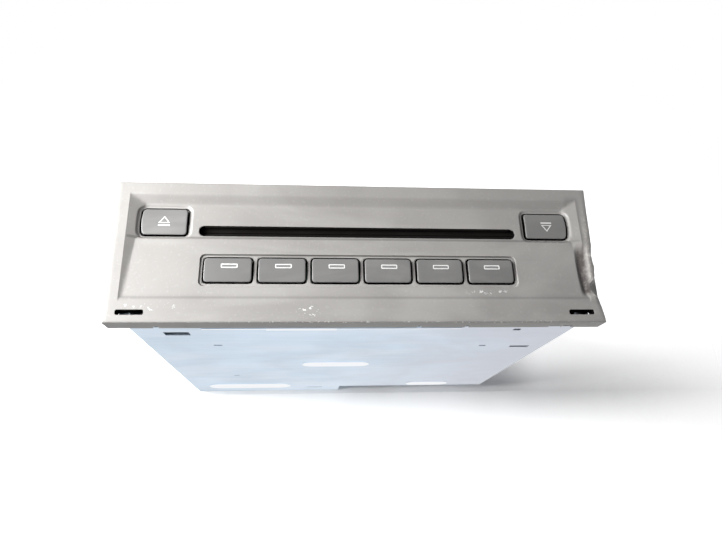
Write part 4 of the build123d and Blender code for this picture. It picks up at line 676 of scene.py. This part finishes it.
    def build(self) -> None:
        """Places the cap, its sign and, on a disc key, its light window."""
        name = self.plan.name
        place_piece(self.cap().mesh(f"{name}_cap"), f"{name}_cap", name, Finishes.KEY,
                    (name,))
        place_piece(self.sign().mesh(f"{name}_sign"), f"{name}_sign", name, Finishes.PRINT)
        if self.symbol is Symbol.WINDOW:
            pane, x, z = Shape(), self.plan.outline.x + self.window[0], self.plan.outline.z + self.window[1]
            self.proud, self.sunk = 0.012, 0.10
            self.inlay(pane, self.rounded(x, z, 5.41, 0.91, 0.13))
            place_piece(pane.mesh(f"{name}_pane"), f"{name}_pane", name, Finishes.WINDOW)


# ---------------------------------------------------------------- bezel
@dataclass
class Bezel:
    """The plastic front: a sunk panel with its openings, on a hollow frame whose right rim is torn."""

    keys: list[KeyPlan]
    half_width: float = 94.0
    half_height: float = 28.5
    front: float = -7.8
    cavity: float = -3.6
    wall: float = 2.2
    edge: float = 0.6
    panel_x: float = 89.3
    flank_slope: float = 2.2 / 5.0
    profile: tuple[Pair, ...] = ((-20.1, 0.0), (-18.6, 0.4), (5.15, 1.5), (5.85, 2.0), (12.0, 2.03),
                                 (17.0, 2.2),
                                 (20.0, 2.55), (23.3, 0.0))
    row: Outline = Outline(0.0, -7.8, 122.3, 12.8, 2.0)
    row_depth: float = 0.55
    pocket_depth: float = 0.5
    slot: Outline = Outline(0.0, 8.6, 125.0, 4.2, 2.09)
    removal: tuple[Outline, ...] = (Outline(-84.7, -24.55, 9.8, 1.8, 0.6),
                                    Outline(84.7, -24.55, 9.8, 1.8, 0.6))
    nicks: tuple[Triple, ...] = ((-76.5, 1.6, 2.3), (22.2, 1.2, 2.5), (40.9, 1.0, 2.8),
                                 (76.1, 4.4, 2.2), (80.7, 3.4, 2.6))
    rubs: tuple[tuple[float, float, float, float], ...] = ((-86.0, -22.4, 2.6, 0.9),
                                                           (-78.4, -22.8, 2.2, 1.3),
                                                           (-70.4, -22.4, 0.6, 1.5),
                                                           (-20.0, -24.2, 3.2, 2.0),
                                                           (49.0, -16.6, 7.0, 0.6))
    torn: tuple[Pair, ...] = ((-28.5, 0.0), (-26.5, 0.1), (-21.4, 0.8), (-18.6, 1.5), (-16.8, 3.0),
                              (-14.5, 3.7),
                              (-12.6, 3.4), (-11.0, 1.9), (-9.0, 1.3), (-6.6, 1.0), (-3.5, 1.1),
                              (-0.8, 1.4),
                              (1.5, 1.0), (3.7, 0.7), (10.0, 0.5), (18.0, 0.35), (28.5, 0.0))
    torn_depth: float = 3.6
    lip: float = 0.16
    gouge_x: float = 88.5
    gouge_reach: float = 2.0
    gouge_depth: float = 1.1
    strip_inset: float = 1.7
    strip_reach: float = 1.6
    # Painted shade: how far and how dark the openings' mouths are painted, and how dark the right flank is
    # painted.
    mouth_reach: float = 0.12
    mouth_shade: float = 0.95
    flank_shade: float = 0.22
    boss_radius: float = 2.0
    boss_x: Pair = (-80.0, 80.0)
    boss_z: Pair = (-17.0, 21.0)
    boss_rear: float = 1.4
    # Painted shade lines: the height, half width and strength of dark lines along the step below the slot
    # and along the bottom bend.
    shade_lines: tuple[Triple, ...] = ((5.6, 0.55, 0.34), (-18.9, 0.6, 0.22))

    def __post_init__(self) -> None:
        """Works out the openings from the keys' outlines, the slot and the removal slots."""
        self.openings = [key.outline.grown(key.gap) for key in self.keys] + [self.slot, *self.removal]
        self.pockets = [key.outline.grown(1.6) for key in self.keys if key.outline.bow_side]

    def inset(self, z: float) -> float:
        """Returns how far the torn right rim is drawn in at a height."""
        wave = 0.22 * noise.noise(Vector((z * 0.45, 3.1, 0.0))) * ease((10 - z) / 8) * ease((z + 27) / 5)
        return max(0.0, between(self.torn, z) + wave)

    def panel(self, x: float, z: float) -> float:
        """Returns the depth of the sunk panel below the front plane, its bends softened."""
        depth = sum(between(self.profile, z + step * 0.2) for step in (-2, -1, 0, 1, 2)) / 5
        sides = max(0.0, (self.panel_x - abs(x))) * self.flank_slope
        mix = max(0.0, min(1.0, 0.5 + (sides - depth) / 0.5))
        return max(0.0, sides + (depth - sides) * mix - 0.125 * mix * (1 - mix))

    def gouge_and_shade(self, x: float, z: float) -> float:
        """Returns how strongly the gouge beside the torn rim is felt, from 0 to 1; the same amount darkens
        its colour as painted shade.
        """
        along = ease((5.0 - z) / 5.0) * ease((z + 18.5) / 3.0)
        middle = self.gouge_x - 0.25 * math.cos((z + 7) / 4)
        return along * ease(1.35 - abs(x - middle) / self.gouge_reach)

    def depth(self, x: float, z: float) -> float:
        """Returns how far the face lies below the front plane at a place."""
        depth = self.panel(x, z)
        depth += self.row_depth * ease(0.5 - self.row.distance(x, z) / 0.3)
        for pocket in self.pockets:
            depth += self.pocket_depth * ease(0.5 - pocket.distance(x, z) / 0.9)
        depth += self.gouge_depth * self.gouge_and_shade(x, z)
        for opening in self.openings:
            near = opening.distance(x, z)
            if near < self.lip:
                depth += self.lip - math.sqrt(max(0.0, self.lip ** 2 - (self.lip - max(0.0, near)) ** 2))
        rim = min(self.half_width - x - self.inset(z), x + self.half_width, self.half_height - abs(z))
        radius = self.edge + 0.35 * min(1.0, self.inset(z)) * ease((x - 80) / 10)
        if rim < radius:
            depth += radius - math.sqrt(max(0.0, radius ** 2 - (radius - max(0.0, rim)) ** 2))
        return depth

    def lines(self, across: bool) -> list[float]:
        """Returns the mesh lines along X or along Z, close together where the face bends."""
        crisp = (0.0, 0.05, 0.16, 0.4)
        found: list[float] = []
        for opening in self.openings:
            inner = tuple(-opening.corner * part for part in (0.1, 0.3, 0.6, 1.0))
            found += opening.lines(across, crisp + inner)
        for outline, reach in [(self.row, (-0.4, -0.15, -0.05, 0.05, 0.15,
                                           0.4))] + [(p, (-0.4, -0.1, 0.2, 0.45)) for p in self.pockets]:
            found += outline.lines(across, reach)
        half = self.half_width if across else self.half_height
        found += [side * (half - step) for side in (-1, 1) for step in (0.0, 0.06, 0.18, 0.36, 0.6,
                                                                        self.wall,
                                                                       self.wall + 0.05)]
        if across:
            found += [side * (self.panel_x + step) for side in (-1, 1) for step in (-5.3, -4.7, -4,
                                                                                    -3.3, -2.6, -1.9, -1.2,
                                                                                    -0.6, -0.3, 0.0, 0.3)]
            for middle, width, _ in self.nicks:
                found += [middle + side * (width / 2 + step) for side in (-1, 1) for step in (0.0, 0.3)]
            return spread(found + [86.0 + 0.7 * n for n in range(9)], -half, half, 2.6)
        for place, _ in self.profile:
            found += [place - 0.4, place, place + 0.4]
        found += [-22.0, -23.0, -24.0]
        return spread(found, -half, half, 0.95)

    def inside(self, x: float, z: float) -> Outline | None:
        """Returns the opening that a place lies in, if any."""
        for opening in self.openings:
            if opening.distance(x, z) < 0:
                return opening
        return None

    def warp(self, x: float, z: float) -> float:
        """Returns a line's x drawn in towards the torn rim."""
        return x - self.inset(z) * max(0.0, (x - 84.0) / (self.half_width - 84.0))

    def nick(self, x: float, z: float) -> float:
        """Returns how deep the rear edge is broken out at a place; only the lower wall is nicked."""
        found = [depth * ease((width / 2 - abs(x - middle)) / 0.3 + 1) for middle, width,
                 depth in self.nicks]
        return max(found) if z < -25.0 else 0.0

    def skin(self) -> Shape:
        """Returns the closed mesh: the fine face, the hollow back and the walls between them."""
        shape, xs, zs = Shape(), self.lines(True), self.lines(False)
        cells = {(i, j): self.inside(self.warp((xs[i] + xs[i + 1]) / 2, (zs[j] + zs[j + 1]) / 2),
                                     (zs[j] + zs[j + 1]) / 2)
                 for i in range(len(xs) - 1) for j in range(len(zs) - 1)}
        solid = {cell for cell, opening in cells.items() if opening is None}
        fronts: dict[Pair, int] = {}
        backs: dict[Pair, int] = {}
        inner_x, inner_z = self.half_width - self.wall - 0.01, self.half_height - self.wall - 0.01
        for i, j in solid:
            for corner in ((i, j), (i + 1, j), (i + 1, j + 1), (i, j + 1)):
                if corner in fronts:
                    continue
                x, z = self.warp(xs[corner[0]], zs[corner[1]]), zs[corner[1]]
                around = [cells.get((corner[0] - a, corner[1] - b)) for a in (0, 1) for b in (0, 1)]
                opening = next((found for found in around if found), None)
                if opening:
                    x, z = opening.onto(x, z)
                fronts[corner] = shape.point(x, self.front + self.depth(x, z), z)
                hollow = abs(xs[corner[0]]) < inner_x and abs(zs[corner[1]]) < inner_z
                rear = self.cavity if hollow else -self.nick(xs[corner[0]], z)
                backs[corner] = shape.point(x if hollow else xs[corner[0]], rear, z)
                # Painted shade: the back of the hollow frame is painted black.
                shape.mark("painted_shade", backs[corner], 1.0 if hollow else 0.0)
                self.weather(shape, fronts[corner], x, z)
        for i, j in solid:
            loop = ((i, j), (i + 1, j), (i + 1, j + 1), (i, j + 1))
            shape.faces.append(tuple(fronts[corner] for corner in loop))
            shape.faces.append(tuple(backs[corner] for corner in reversed(loop)))
            for corner, after, beyond in ((loop[0], loop[1], (i, j - 1)), (loop[1], loop[2], (i + 1, j)),
                                          (loop[2], loop[3], (i, j + 1)), (loop[3], loop[0], (i - 1, j))):
                if beyond not in solid:
                    self.edge_wall(shape, fronts, backs, corner, after, beyond in cells)
        return shape

    def edge_wall(self, shape: Shape, fronts: dict, backs: dict, start: Pair, end: Pair,
                  opening: bool) -> None:
        """Adds the wall under one edge of the face, down an opening or down the outside in steps."""
        columns = []
        for corner in (start, end):
            top, low = fronts[corner], backs[corner]
            column = [top]
            if opening:
                if ("mouth", corner) not in fronts:
                    x, y, z = shape.points[top]
                    fronts["mouth", corner] = shape.point(x, y + 0.06, z)
                    # Painted shade: the first step down into an opening is painted black.
                    shape.mark("painted_shade", fronts["mouth", corner], 1.0)
                column.append(fronts["mouth", corner])
            else:
                for step in (0.3, 0.65, 1.0):
                    key = ("wall", corner, step)
                    if key not in fronts:
                        x, y, z = shape.points[top]
                        wide, deep = shape.points[low][0], self.front + self.torn_depth
                        bulge = 0.25 * noise.noise(Vector((z * 0.9, step * 3,
                                                           7.0))) * min(1.0, abs(wide - x)) * (1 - step)
                        fronts[key] = shape.point(x + (wide - x) * step ** 1.6 + bulge,
                                                  y + (deep - y) * step, z)
                        shape.mark("whitening", fronts[key], 0.75 * min(1.0, abs(wide - x)) * (1 - step))
                    column.append(fronts[key])
            columns.append(column + [low])
        for n in range(len(columns[0]) - 1):
            shape.faces.append((columns[0][n], columns[0][n + 1], columns[1][n + 1], columns[1][n]))

    def weather(self, shape: Shape, index: int, x: float, z: float) -> None:
        """Notes where the plastic is torn pale or rubbed, and where shade is painted: in the gouge, along
        the step and the bottom bend, at the top of the key row, round the mouths of the openings and on the
        upper right flank.
        """
        rim = self.half_width - x - self.inset(z)
        strip = (ease(1.3 - abs(rim - self.strip_inset) / self.strip_reach)
                 * ease((25 - z) / 14) * ease((z + 21) / 4))
        patch = 0.75 + 0.5 * noise.noise(Vector((x * 1.3, 5.0, z * 0.8)))
        shape.mark("whitening", index, min(0.85, 0.8 * strip * patch))
        # Painted shade in the gouge: its strength darkens the colour there.
        shape.mark("gouge_and_shade", index, self.gouge_and_shade(x, z))
        worn = [ease(1.5 - math.hypot((x - middle) / wide, (z - level) / high)) for middle, level, wide,
                high in self.rubs]
        edge = ease(1 - (z + self.half_height) / 0.7) * ease(1.6 - abs(x - 20) / 60)
        shape.mark("rubbed", index, max(*worn, 0.8 * edge, 0.04))
        # Painted shade: dark lines along the step and the bottom bend on the sunk panel, a dark band at the
        # top of the key row, dark mouths round the openings and a darker upper right flank.
        sunk = ease((self.panel_x - abs(x)) / 0.8)
        line_shade = [strength * ease(1.5 - abs(z - level) / wide) for level, wide, strength in self.shade_lines]
        row = 0.5 * ease(1.2 - abs(self.row.distance(x, z) + 0.2) / 0.35) * ease((z - self.row.z) / 3)
        near = min(abs(opening.distance(x, z)) for opening in self.openings)
        mouth = self.mouth_shade * ease(1.5 - near / self.mouth_reach)
        shade = (self.flank_shade * ease((x - 83.5) / 2.5) * ease((91.0 - x) / 1.5)
                 * ease((z - 2) / 4) * ease((26 - z) / 3))
        shape.mark("painted_shade", index, max(sunk * max(line_shade), row, mouth, shade))

    def build(self) -> None:
        """Places the bezel with its screw bosses, and black blocks in the nicks of its rear edge as painted
        shade.
        """
        shape = self.skin()
        for x in self.boss_x:
            for z in self.boss_z:
                shape.round_bar(self.boss_radius, x, (self.cavity, self.boss_rear), z)
        place_piece(shape.mesh("bezel_face"), "bezel_face", "housing", Finishes.BEZEL,
                    ("bezel",))
        # Painted shade: black blocks fill the nicks in the rear edge, where there is only shade.
        nick_shade = Shape()
        for middle, width, depth in self.nicks:
            nick_shade.block((middle - width / 2 + 0.05, middle + width / 2 - 0.05), (-depth + 0.05, -0.05),
                       (-self.half_height + 0.35, -self.half_height + self.wall - 0.1))
        place_piece(nick_shade.mesh("bezel_gap_fills"), "bezel_gap_fills", "housing",
                    Finishes.BLACK)


# ---------------------------------------------------------------- repeated small parts
class PartsTree:
    """A geometry node tree with named inputs that makes one plain mesh."""

    def __init__(self, name: str, **values: float | int | Triple) -> None:
        """Starts the tree with an input for each named value."""
        self.name, self.values = name, values
        self.tree = bpy.data.node_groups.new(name, "GeometryNodeTree")
        kinds = {int: "NodeSocketInt", float: "NodeSocketFloat", tuple: "NodeSocketVector"}
        self.tree.interface.new_socket("Geometry", in_out="INPUT", socket_type="NodeSocketGeometry")
        for title, value in values.items():
            self.tree.interface.new_socket(title, in_out="INPUT", socket_type=kinds[type(value)])
        self.tree.interface.new_socket("Geometry", in_out="OUTPUT", socket_type="NodeSocketGeometry")
        self.graph = Graph(self.tree)
        self.inputs = {socket.name: socket for socket in self.graph.add("NodeGroupInput").outputs}

    def close(self, geometry: Socket, finish: Finishes) -> None:
        """Ends the tree: instances made real, the finish set."""
        real = self.graph.add("GeometryNodeRealizeInstances", {0: geometry}).outputs[0]
        dressed = self.graph.add("GeometryNodeSetMaterial",
                                 {"Geometry": real, "Material": finish.value.material()})
        sink = self.graph.add("NodeGroupOutput")
        self.tree.links.new(dressed.outputs[0], sink.inputs[0])

    def mesh(self, start: bpy.types.Mesh) -> bpy.types.Mesh:
        """Returns the tree's result on a starting mesh, as a plain mesh."""
        carrier = bpy.data.objects.new(self.name, start)
        bpy.context.collection.objects.link(carrier)
        modifier = carrier.modifiers.new(self.name, "NODES")
        modifier.node_group = self.tree
        for item in self.tree.interface.items_tree:
            if item.in_out == "INPUT" and item.name in self.values:
                modifier[item.identifier] = self.values[item.name]
        carrier.update_tag()
        depsgraph = bpy.context.evaluated_depsgraph_get()
        made = bpy.data.meshes.new_from_object(carrier.evaluated_get(depsgraph))
        carrier.modifiers.remove(modifier)
        bpy.data.objects.remove(carrier)
        return made


@dataclass
class CoverScrews:
    """Four cross-recessed screws that hold the top cover."""

    places: tuple[Pair, ...] = ((-84.0, 30.0), (-84.0, 120.0), (84.0, 30.0), (84.0, 120.0))
    top: float = 24.0
    head_radius: float = 2.0
    head_height: float = 1.0
    shank: float = 1.0
    shank_length: float = 4.8
    cross: float = 1.15
    cross_depth: float = 0.55

    def screw(self) -> Shape:
        """Returns one screw: a domed head with a cross recess, on its shank."""
        shape, sides = Shape(), 32
        half = 0.24
        rings = [(self.shank, -self.shank_length), (self.shank, 0.0), (self.head_radius, 0.0),
                 (self.head_radius, 0.35), (self.head_radius * 0.86, 0.75),
                 (self.head_radius * 0.62, self.head_height)]
        loops = [[shape.point(radius * math.cos(2 * math.pi * n / sides),
                              radius * math.sin(2 * math.pi * n / sides), z)
                  for n in range(sides)] for radius, z in rings]
        for lower, upper in zip(loops, loops[1:]):
            shape.loop_wall(upper, lower)
        shape.faces.append(tuple(reversed(loops[0])))
        arms = []
        for n in range(sides):
            angle = 2 * math.pi * n / sides
            reach = min(half / max(1e-6, abs(math.sin(angle))), half / max(1e-6, abs(math.cos(angle))))
            near = max(half * 1.02, min(self.cross, reach))
            arms.append((near * math.cos(angle), near * math.sin(angle)))
        mouth = [shape.point(x, y, self.head_height) for x, y in arms]
        floor = [shape.point(x * 0.55, y * 0.55, self.head_height - self.cross_depth) for x, y in arms]
        shape.loop_wall(mouth, loops[-1])
        shape.loop_wall(floor, mouth)
        shape.faces.append(tuple(floor))
        return shape

    def build(self) -> None:
        """Places the screws, one instance at each place."""
        start = Shape([(x, y, self.top) for x, y in self.places]).mesh("screw_places")
        pattern = bpy.data.objects.new("screw_pattern", self.screw().mesh("screw_pattern"))
        tree = PartsTree("cover_screw_set", Turn=0.7)
        info = tree.graph.add("GeometryNodeObjectInfo", {"Object": pattern})
        turn = tree.graph.add("FunctionNodeRandomValue", {3: tree.inputs["Turn"], "Seed": 4},
                              data_type="FLOAT")
        turned = tree.graph.add("ShaderNodeCombineXYZ", {2: turn.outputs[1]})
        dots = tree.graph.add("GeometryNodeMeshToPoints", {"Mesh": tree.inputs["Geometry"]})
        placed = tree.graph.add("GeometryNodeInstanceOnPoints", {"Points": dots.outputs[0],
                                                                 "Instance": info.outputs["Geometry"],
                                                                 "Rotation": turned.outputs[0]})
        tree.close(placed.outputs[0], Finishes.BRIGHT)
        mesh = tree.mesh(start)
        bpy.data.objects.remove(pattern)
        place_piece(mesh, "cover_screw_set", "housing", Finishes.BRIGHT, ("cover_screws",))


@dataclass
class ConnectorPins:
    """Two rows of pointed pins in the rear connector."""

    columns: int = 6
    pitch: float = 4.2
    middle_x: float = 23.0
    middle_z: float = -15.7
    row_offset: float = 2.2
    root: float = 145.2
    tip: float = 152.2
    width: float = 1.0

    def build(self) -> None:
        """Places the pins, instanced on a grid of points."""
        pin, half = Shape(), self.width / 2
        loops = []
        for y, size in ((0.0, half), (self.tip - self.root - 1.0, half),
                        (self.tip - self.root, half * 0.35)):
            loops.append([pin.point(x * size, y, z * size) for x,
                          z in ((-1, -1), (-1, 1), (1, 1), (1, -1))])
        pin.loop_wall(loops[1], loops[0])
        pin.loop_wall(loops[2], loops[1])
        pin.faces += [tuple(reversed(loops[0])), tuple(loops[2])]
        pattern = bpy.data.objects.new("pin_pattern", pin.mesh("pin_pattern"))
        first = self.middle_x - self.pitch * (self.columns - 1) / 2
        tree = PartsTree("connector_pin_set", Count=self.columns, Step=(self.pitch * MM, 0.0, 0.0),
                         Raise=(0.0, 0.0, 2 * self.row_offset * MM))
        row = tree.graph.add("GeometryNodeMeshLine",
                             {"Count": tree.inputs["Count"], "Offset": tree.inputs["Step"],
                             "Start Location": (first * MM, self.root * MM,
                                                (self.middle_z - self.row_offset) * MM)})
        upper = tree.graph.add("GeometryNodeTransform", {"Geometry": row.outputs[0],
                                                         "Translation": tree.inputs["Raise"]})
        both = tree.graph.add("GeometryNodeJoinGeometry")
        tree.tree.links.new(row.outputs[0], both.inputs[0])
        tree.tree.links.new(upper.outputs[0], both.inputs[0])
        info = tree.graph.add("GeometryNodeObjectInfo", {"Object": pattern})
        placed = tree.graph.add("GeometryNodeInstanceOnPoints", {"Points": both.outputs[0],
                                                                 "Instance": info.outputs["Geometry"]})
        tree.close(placed.outputs[0], Finishes.BRASS)
        mesh = tree.mesh(bpy.data.meshes.new("pins_start"))
        bpy.data.objects.remove(pattern)
        place_piece(mesh, "connector_pin_set", "housing", Finishes.BRASS, ("connector_pins",))


@dataclass
class CaseFrontLip:
    """The pressed lip of the case just behind the bezel, wider in its middle; the case finish paints its
    lower face as a highlight.
    """

    bars: tuple[tuple[Pair, Pair], ...] = (((-62.0, -37.0), (9.8, 11.2)), ((-37.0, -9.0), (9.6, 12.6)),
                                           ((-9.0, 42.0), (9.9, 10.9)))
    level: float = -26.0
    height: float = 0.3

    def build(self) -> None:
        """Places the lip on the case's underside."""
        shape = Shape()
        for x, y in self.bars:
            shape.block(x, y, (self.level - self.height, self.level + 0.1))
        place_piece(shape.mesh("case_front_lip"), "case_front_lip", "housing", Finishes.CASE)


# ---------------------------------------------------------------- the rest of the changer
@dataclass
class Mechanism:
    """The frame's own nodes: the case and all that it holds, each in its finish."""

    slots: dict[str, Finishes] = field(default_factory=lambda: SLOTS)

    def build(self) -> None:
        """Gives each node the finish of its material slot."""
        chosen = {part["node"]: part["material_slot"] for part in frame["record"]["subparts"]}
        for name, node in frame["nodes"].items():
            finish = self.slots[chosen[name]]
            node.data.materials.clear()
            node.data.materials.append(finish.value.material())
            log.info("node %s: %s", name, finish.value.name)


# ---------------------------------------------------------------- studio
@dataclass
class Studio:
    """The pale floor, the surface behind the unit, the soft light and the camera."""

    floor_z: float = -28.5
    rest_y: float = 167.6
    camera_place: Triple = (-20.18, -217.13, -85.40)
    camera_turn: Triple = (110.152, 1.446, -4.865)
    lens: float = 29.22
    ambient: float = 0.13
    shade_reach: float = 0.05
    sensor: float = 36.0
    lamps: tuple[tuple[str, Triple, float, float], ...] = (
        ("window_light", (-0.30, -0.16, 0.025), 0.20, 3.7),
        ("floor_bounce", (0.06, 0.10, -0.50), 0.50, 0.55),
        ("room_fill", (0.5, 0.5, 0.9), 0.8, 4.0),
    )

    def camera(self) -> None:
        """Places the camera at the photograph's viewing angle."""
        data = bpy.data.cameras.new("view_from_front")
        data.lens, data.sensor_width, data.sensor_fit = self.lens, self.sensor, "HORIZONTAL"
        data.clip_start, data.clip_end = 0.01, 20.0
        camera = bpy.data.objects.new("view_from_front", data)
        camera.location = Vector(self.camera_place) * MM
        camera.rotation_euler = [math.radians(angle) for angle in self.camera_turn]
        bpy.context.collection.objects.link(camera)
        bpy.context.scene.camera = camera

    def lamp(self, name: str, place: Triple, size: float, power: float) -> None:
        """Places a square soft lamp that points at the unit's middle."""
        data = bpy.data.lights.new(name, "AREA")
        data.size, data.energy = size, power
        lamp = bpy.data.objects.new(name, data)
        lamp.location = place
        lamp.rotation_mode = "QUATERNION"
        lamp.rotation_quaternion = (Vector((0.0, 0.03, 0.0)) - Vector(place)).to_track_quat("-Z", "Y")
        bpy.context.collection.objects.link(lamp)

    def world(self) -> None:
        """Makes the world: white where it is seen, a soft grey light elsewhere."""
        world = bpy.data.worlds.new("soft_room")
        world.use_nodes = True
        world.node_tree.nodes.clear()
        graph = Graph(world.node_tree)
        path = graph.add("ShaderNodeLightPath")
        seen = graph.math("MAXIMUM", path.outputs["Is Camera Ray"],
                          graph.math("MAXIMUM", path.outputs["Is Glossy Ray"],
                                     path.outputs["Is Transmission Ray"]))
        soft = graph.add("ShaderNodeBackground", {0: (0.97, 0.98, 1.0, 1.0), 1: self.ambient})
        white = graph.add("ShaderNodeBackground", {0: (1.0, 1.0, 1.0, 1.0), 1: 1.0})
        mixed = graph.add("ShaderNodeMixShader", {0: seen, 1: soft.outputs[0], 2: white.outputs[0]})
        sink = graph.add("ShaderNodeOutputWorld")
        graph.tree.links.new(mixed.outputs[0], sink.inputs[0])
        bpy.context.scene.world = world

    def pale(self, name: str, centre: Triple, near: float, far: float) -> bpy.types.Material:
        """Returns a pale surface seen only by the camera from its front, fading out with distance; its glow
        is dimmed near the unit as a painted contact shadow.

        Args:
            name: the material's name.
            centre: the place in metres from which the fade is measured.
            near: the distance in metres at which it starts to fade.
            far: the distance in metres at which it is gone.
        """
        made = bpy.data.materials.new(name)
        made.use_nodes = True
        made.node_tree.nodes.clear()
        graph = Graph(made.node_tree)
        place = graph.add("ShaderNodeTexCoord").outputs["Object"]
        away = graph.add("ShaderNodeVectorMath", {0: place, 1: centre},
                         operation="DISTANCE").outputs["Value"]
        fade = graph.remap(away, near, far, 1.0, 0.0)
        path = graph.add("ShaderNodeLightPath").outputs["Is Camera Ray"]
        back = graph.add("ShaderNodeNewGeometry").outputs["Backfacing"]
        shown = graph.math("MULTIPLY", graph.math("MULTIPLY", fade, path),
                           graph.math("SUBTRACT", 1.0, back))
        grain = graph.remap(graph.noise(place, 60.0, 6.0), 0.3, 0.7)
        tone = graph.blend(grain, (0.90, 0.90, 0.90, 1.0), (0.94, 0.94, 0.935, 1.0))
        # Painted shadow: the surface's glow is dimmed by ambient occlusion near the unit.
        ao_for_painted_shadow = graph.add("ShaderNodeAmbientOcclusion", {"Distance": self.shade_reach}).outputs["AO"]
        glow = graph.math("MULTIPLY", graph.remap(ao_for_painted_shadow, 0.35, 0.95), 0.80)
        bright = graph.add("ShaderNodeEmission", {"Color": (1.0, 1.0, 1.0, 1.0), "Strength": glow})
        lit = graph.add("ShaderNodeBsdfDiffuse", {"Color": tone, "Roughness": 0.6})
        matt = graph.add("ShaderNodeAddShader", {0: bright.outputs[0], 1: lit.outputs[0]})
        clear = graph.add("ShaderNodeBsdfTransparent")
        mixed = graph.add("ShaderNodeMixShader", {0: shown, 1: clear.outputs[0], 2: matt.outputs[0]})
        sink = graph.add("ShaderNodeOutputMaterial")
        graph.tree.links.new(mixed.outputs[0], sink.inputs["Surface"])
        return made

    def sheet(self, name: str, corners: list[Triple], material: bpy.types.Material) -> None:
        """Places one flat surface of the stage."""
        mesh = bpy.data.meshes.new(name)
        mesh.from_pydata(corners, [], [(0, 1, 2, 3)])
        mesh.materials.append(material)
        sheet = bpy.data.objects.new(name, mesh)
        bpy.context.collection.objects.link(sheet)

    def build(self) -> None:
        """Places the whole studio."""
        self.camera()
        self.world()
        for name, place, size, power in self.lamps:
            self.lamp(name, place, size, power)
        z, y = self.floor_z * MM, self.rest_y * MM
        floor = self.pale("pale_floor", (0.0, 0.08, z), 0.25, 1.1)
        self.sheet("floor", [(-2, -2, z), (2, -2, z), (2, 2, z), (-2, 2, z)], floor)
        rest = self.pale("pale_rest", (0.0, y, -0.02), 0.12, 0.34)
        self.sheet("rest_surface", [(-0.5, y, -0.5), (0.5, y, -0.5), (0.5, y, 0.5), (-0.5, y, 0.5)], rest)
        bpy.context.scene.view_settings.view_transform = "Standard"
        log.info("studio placed")


def key_plans() -> list[KeyPlan]:
    """Returns the plans of the eject key, the load key and the six disc keys, left to right."""
    plans = [KeyPlan(name, Outline(side * 75.6, 12.3, 16.7, 10.75, 1.3, 0.5, side), -6.209)
             for name, side in (("eject_key", -1), ("load_key", 1))]
    for number in range(6):
        outline = Outline((number - 2.5) * 20.25, -7.8, 17.8, 9.6, 1.3)
        plans.append(KeyPlan(f"disc_key_{number + 1}", outline, -7.350))
    return plans


def main() -> None:
    """Builds the changer and its studio."""
    logging.basicConfig(level=logging.INFO, format="%(message)s")
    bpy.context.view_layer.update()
    Mechanism().build()
    plans = key_plans()
    Bezel(plans).build()
    signs = [Symbol.EJECT, Symbol.INSERT] + [Symbol.WINDOW] * 6
    for plan, sign in zip(plans, signs):
        Key(plan, sign).build()
    CoverScrews().build()
    ConnectorPins().build()
    CaseFrontLip().build()
    Studio().build()


if __name__ == "__main__":
    main()
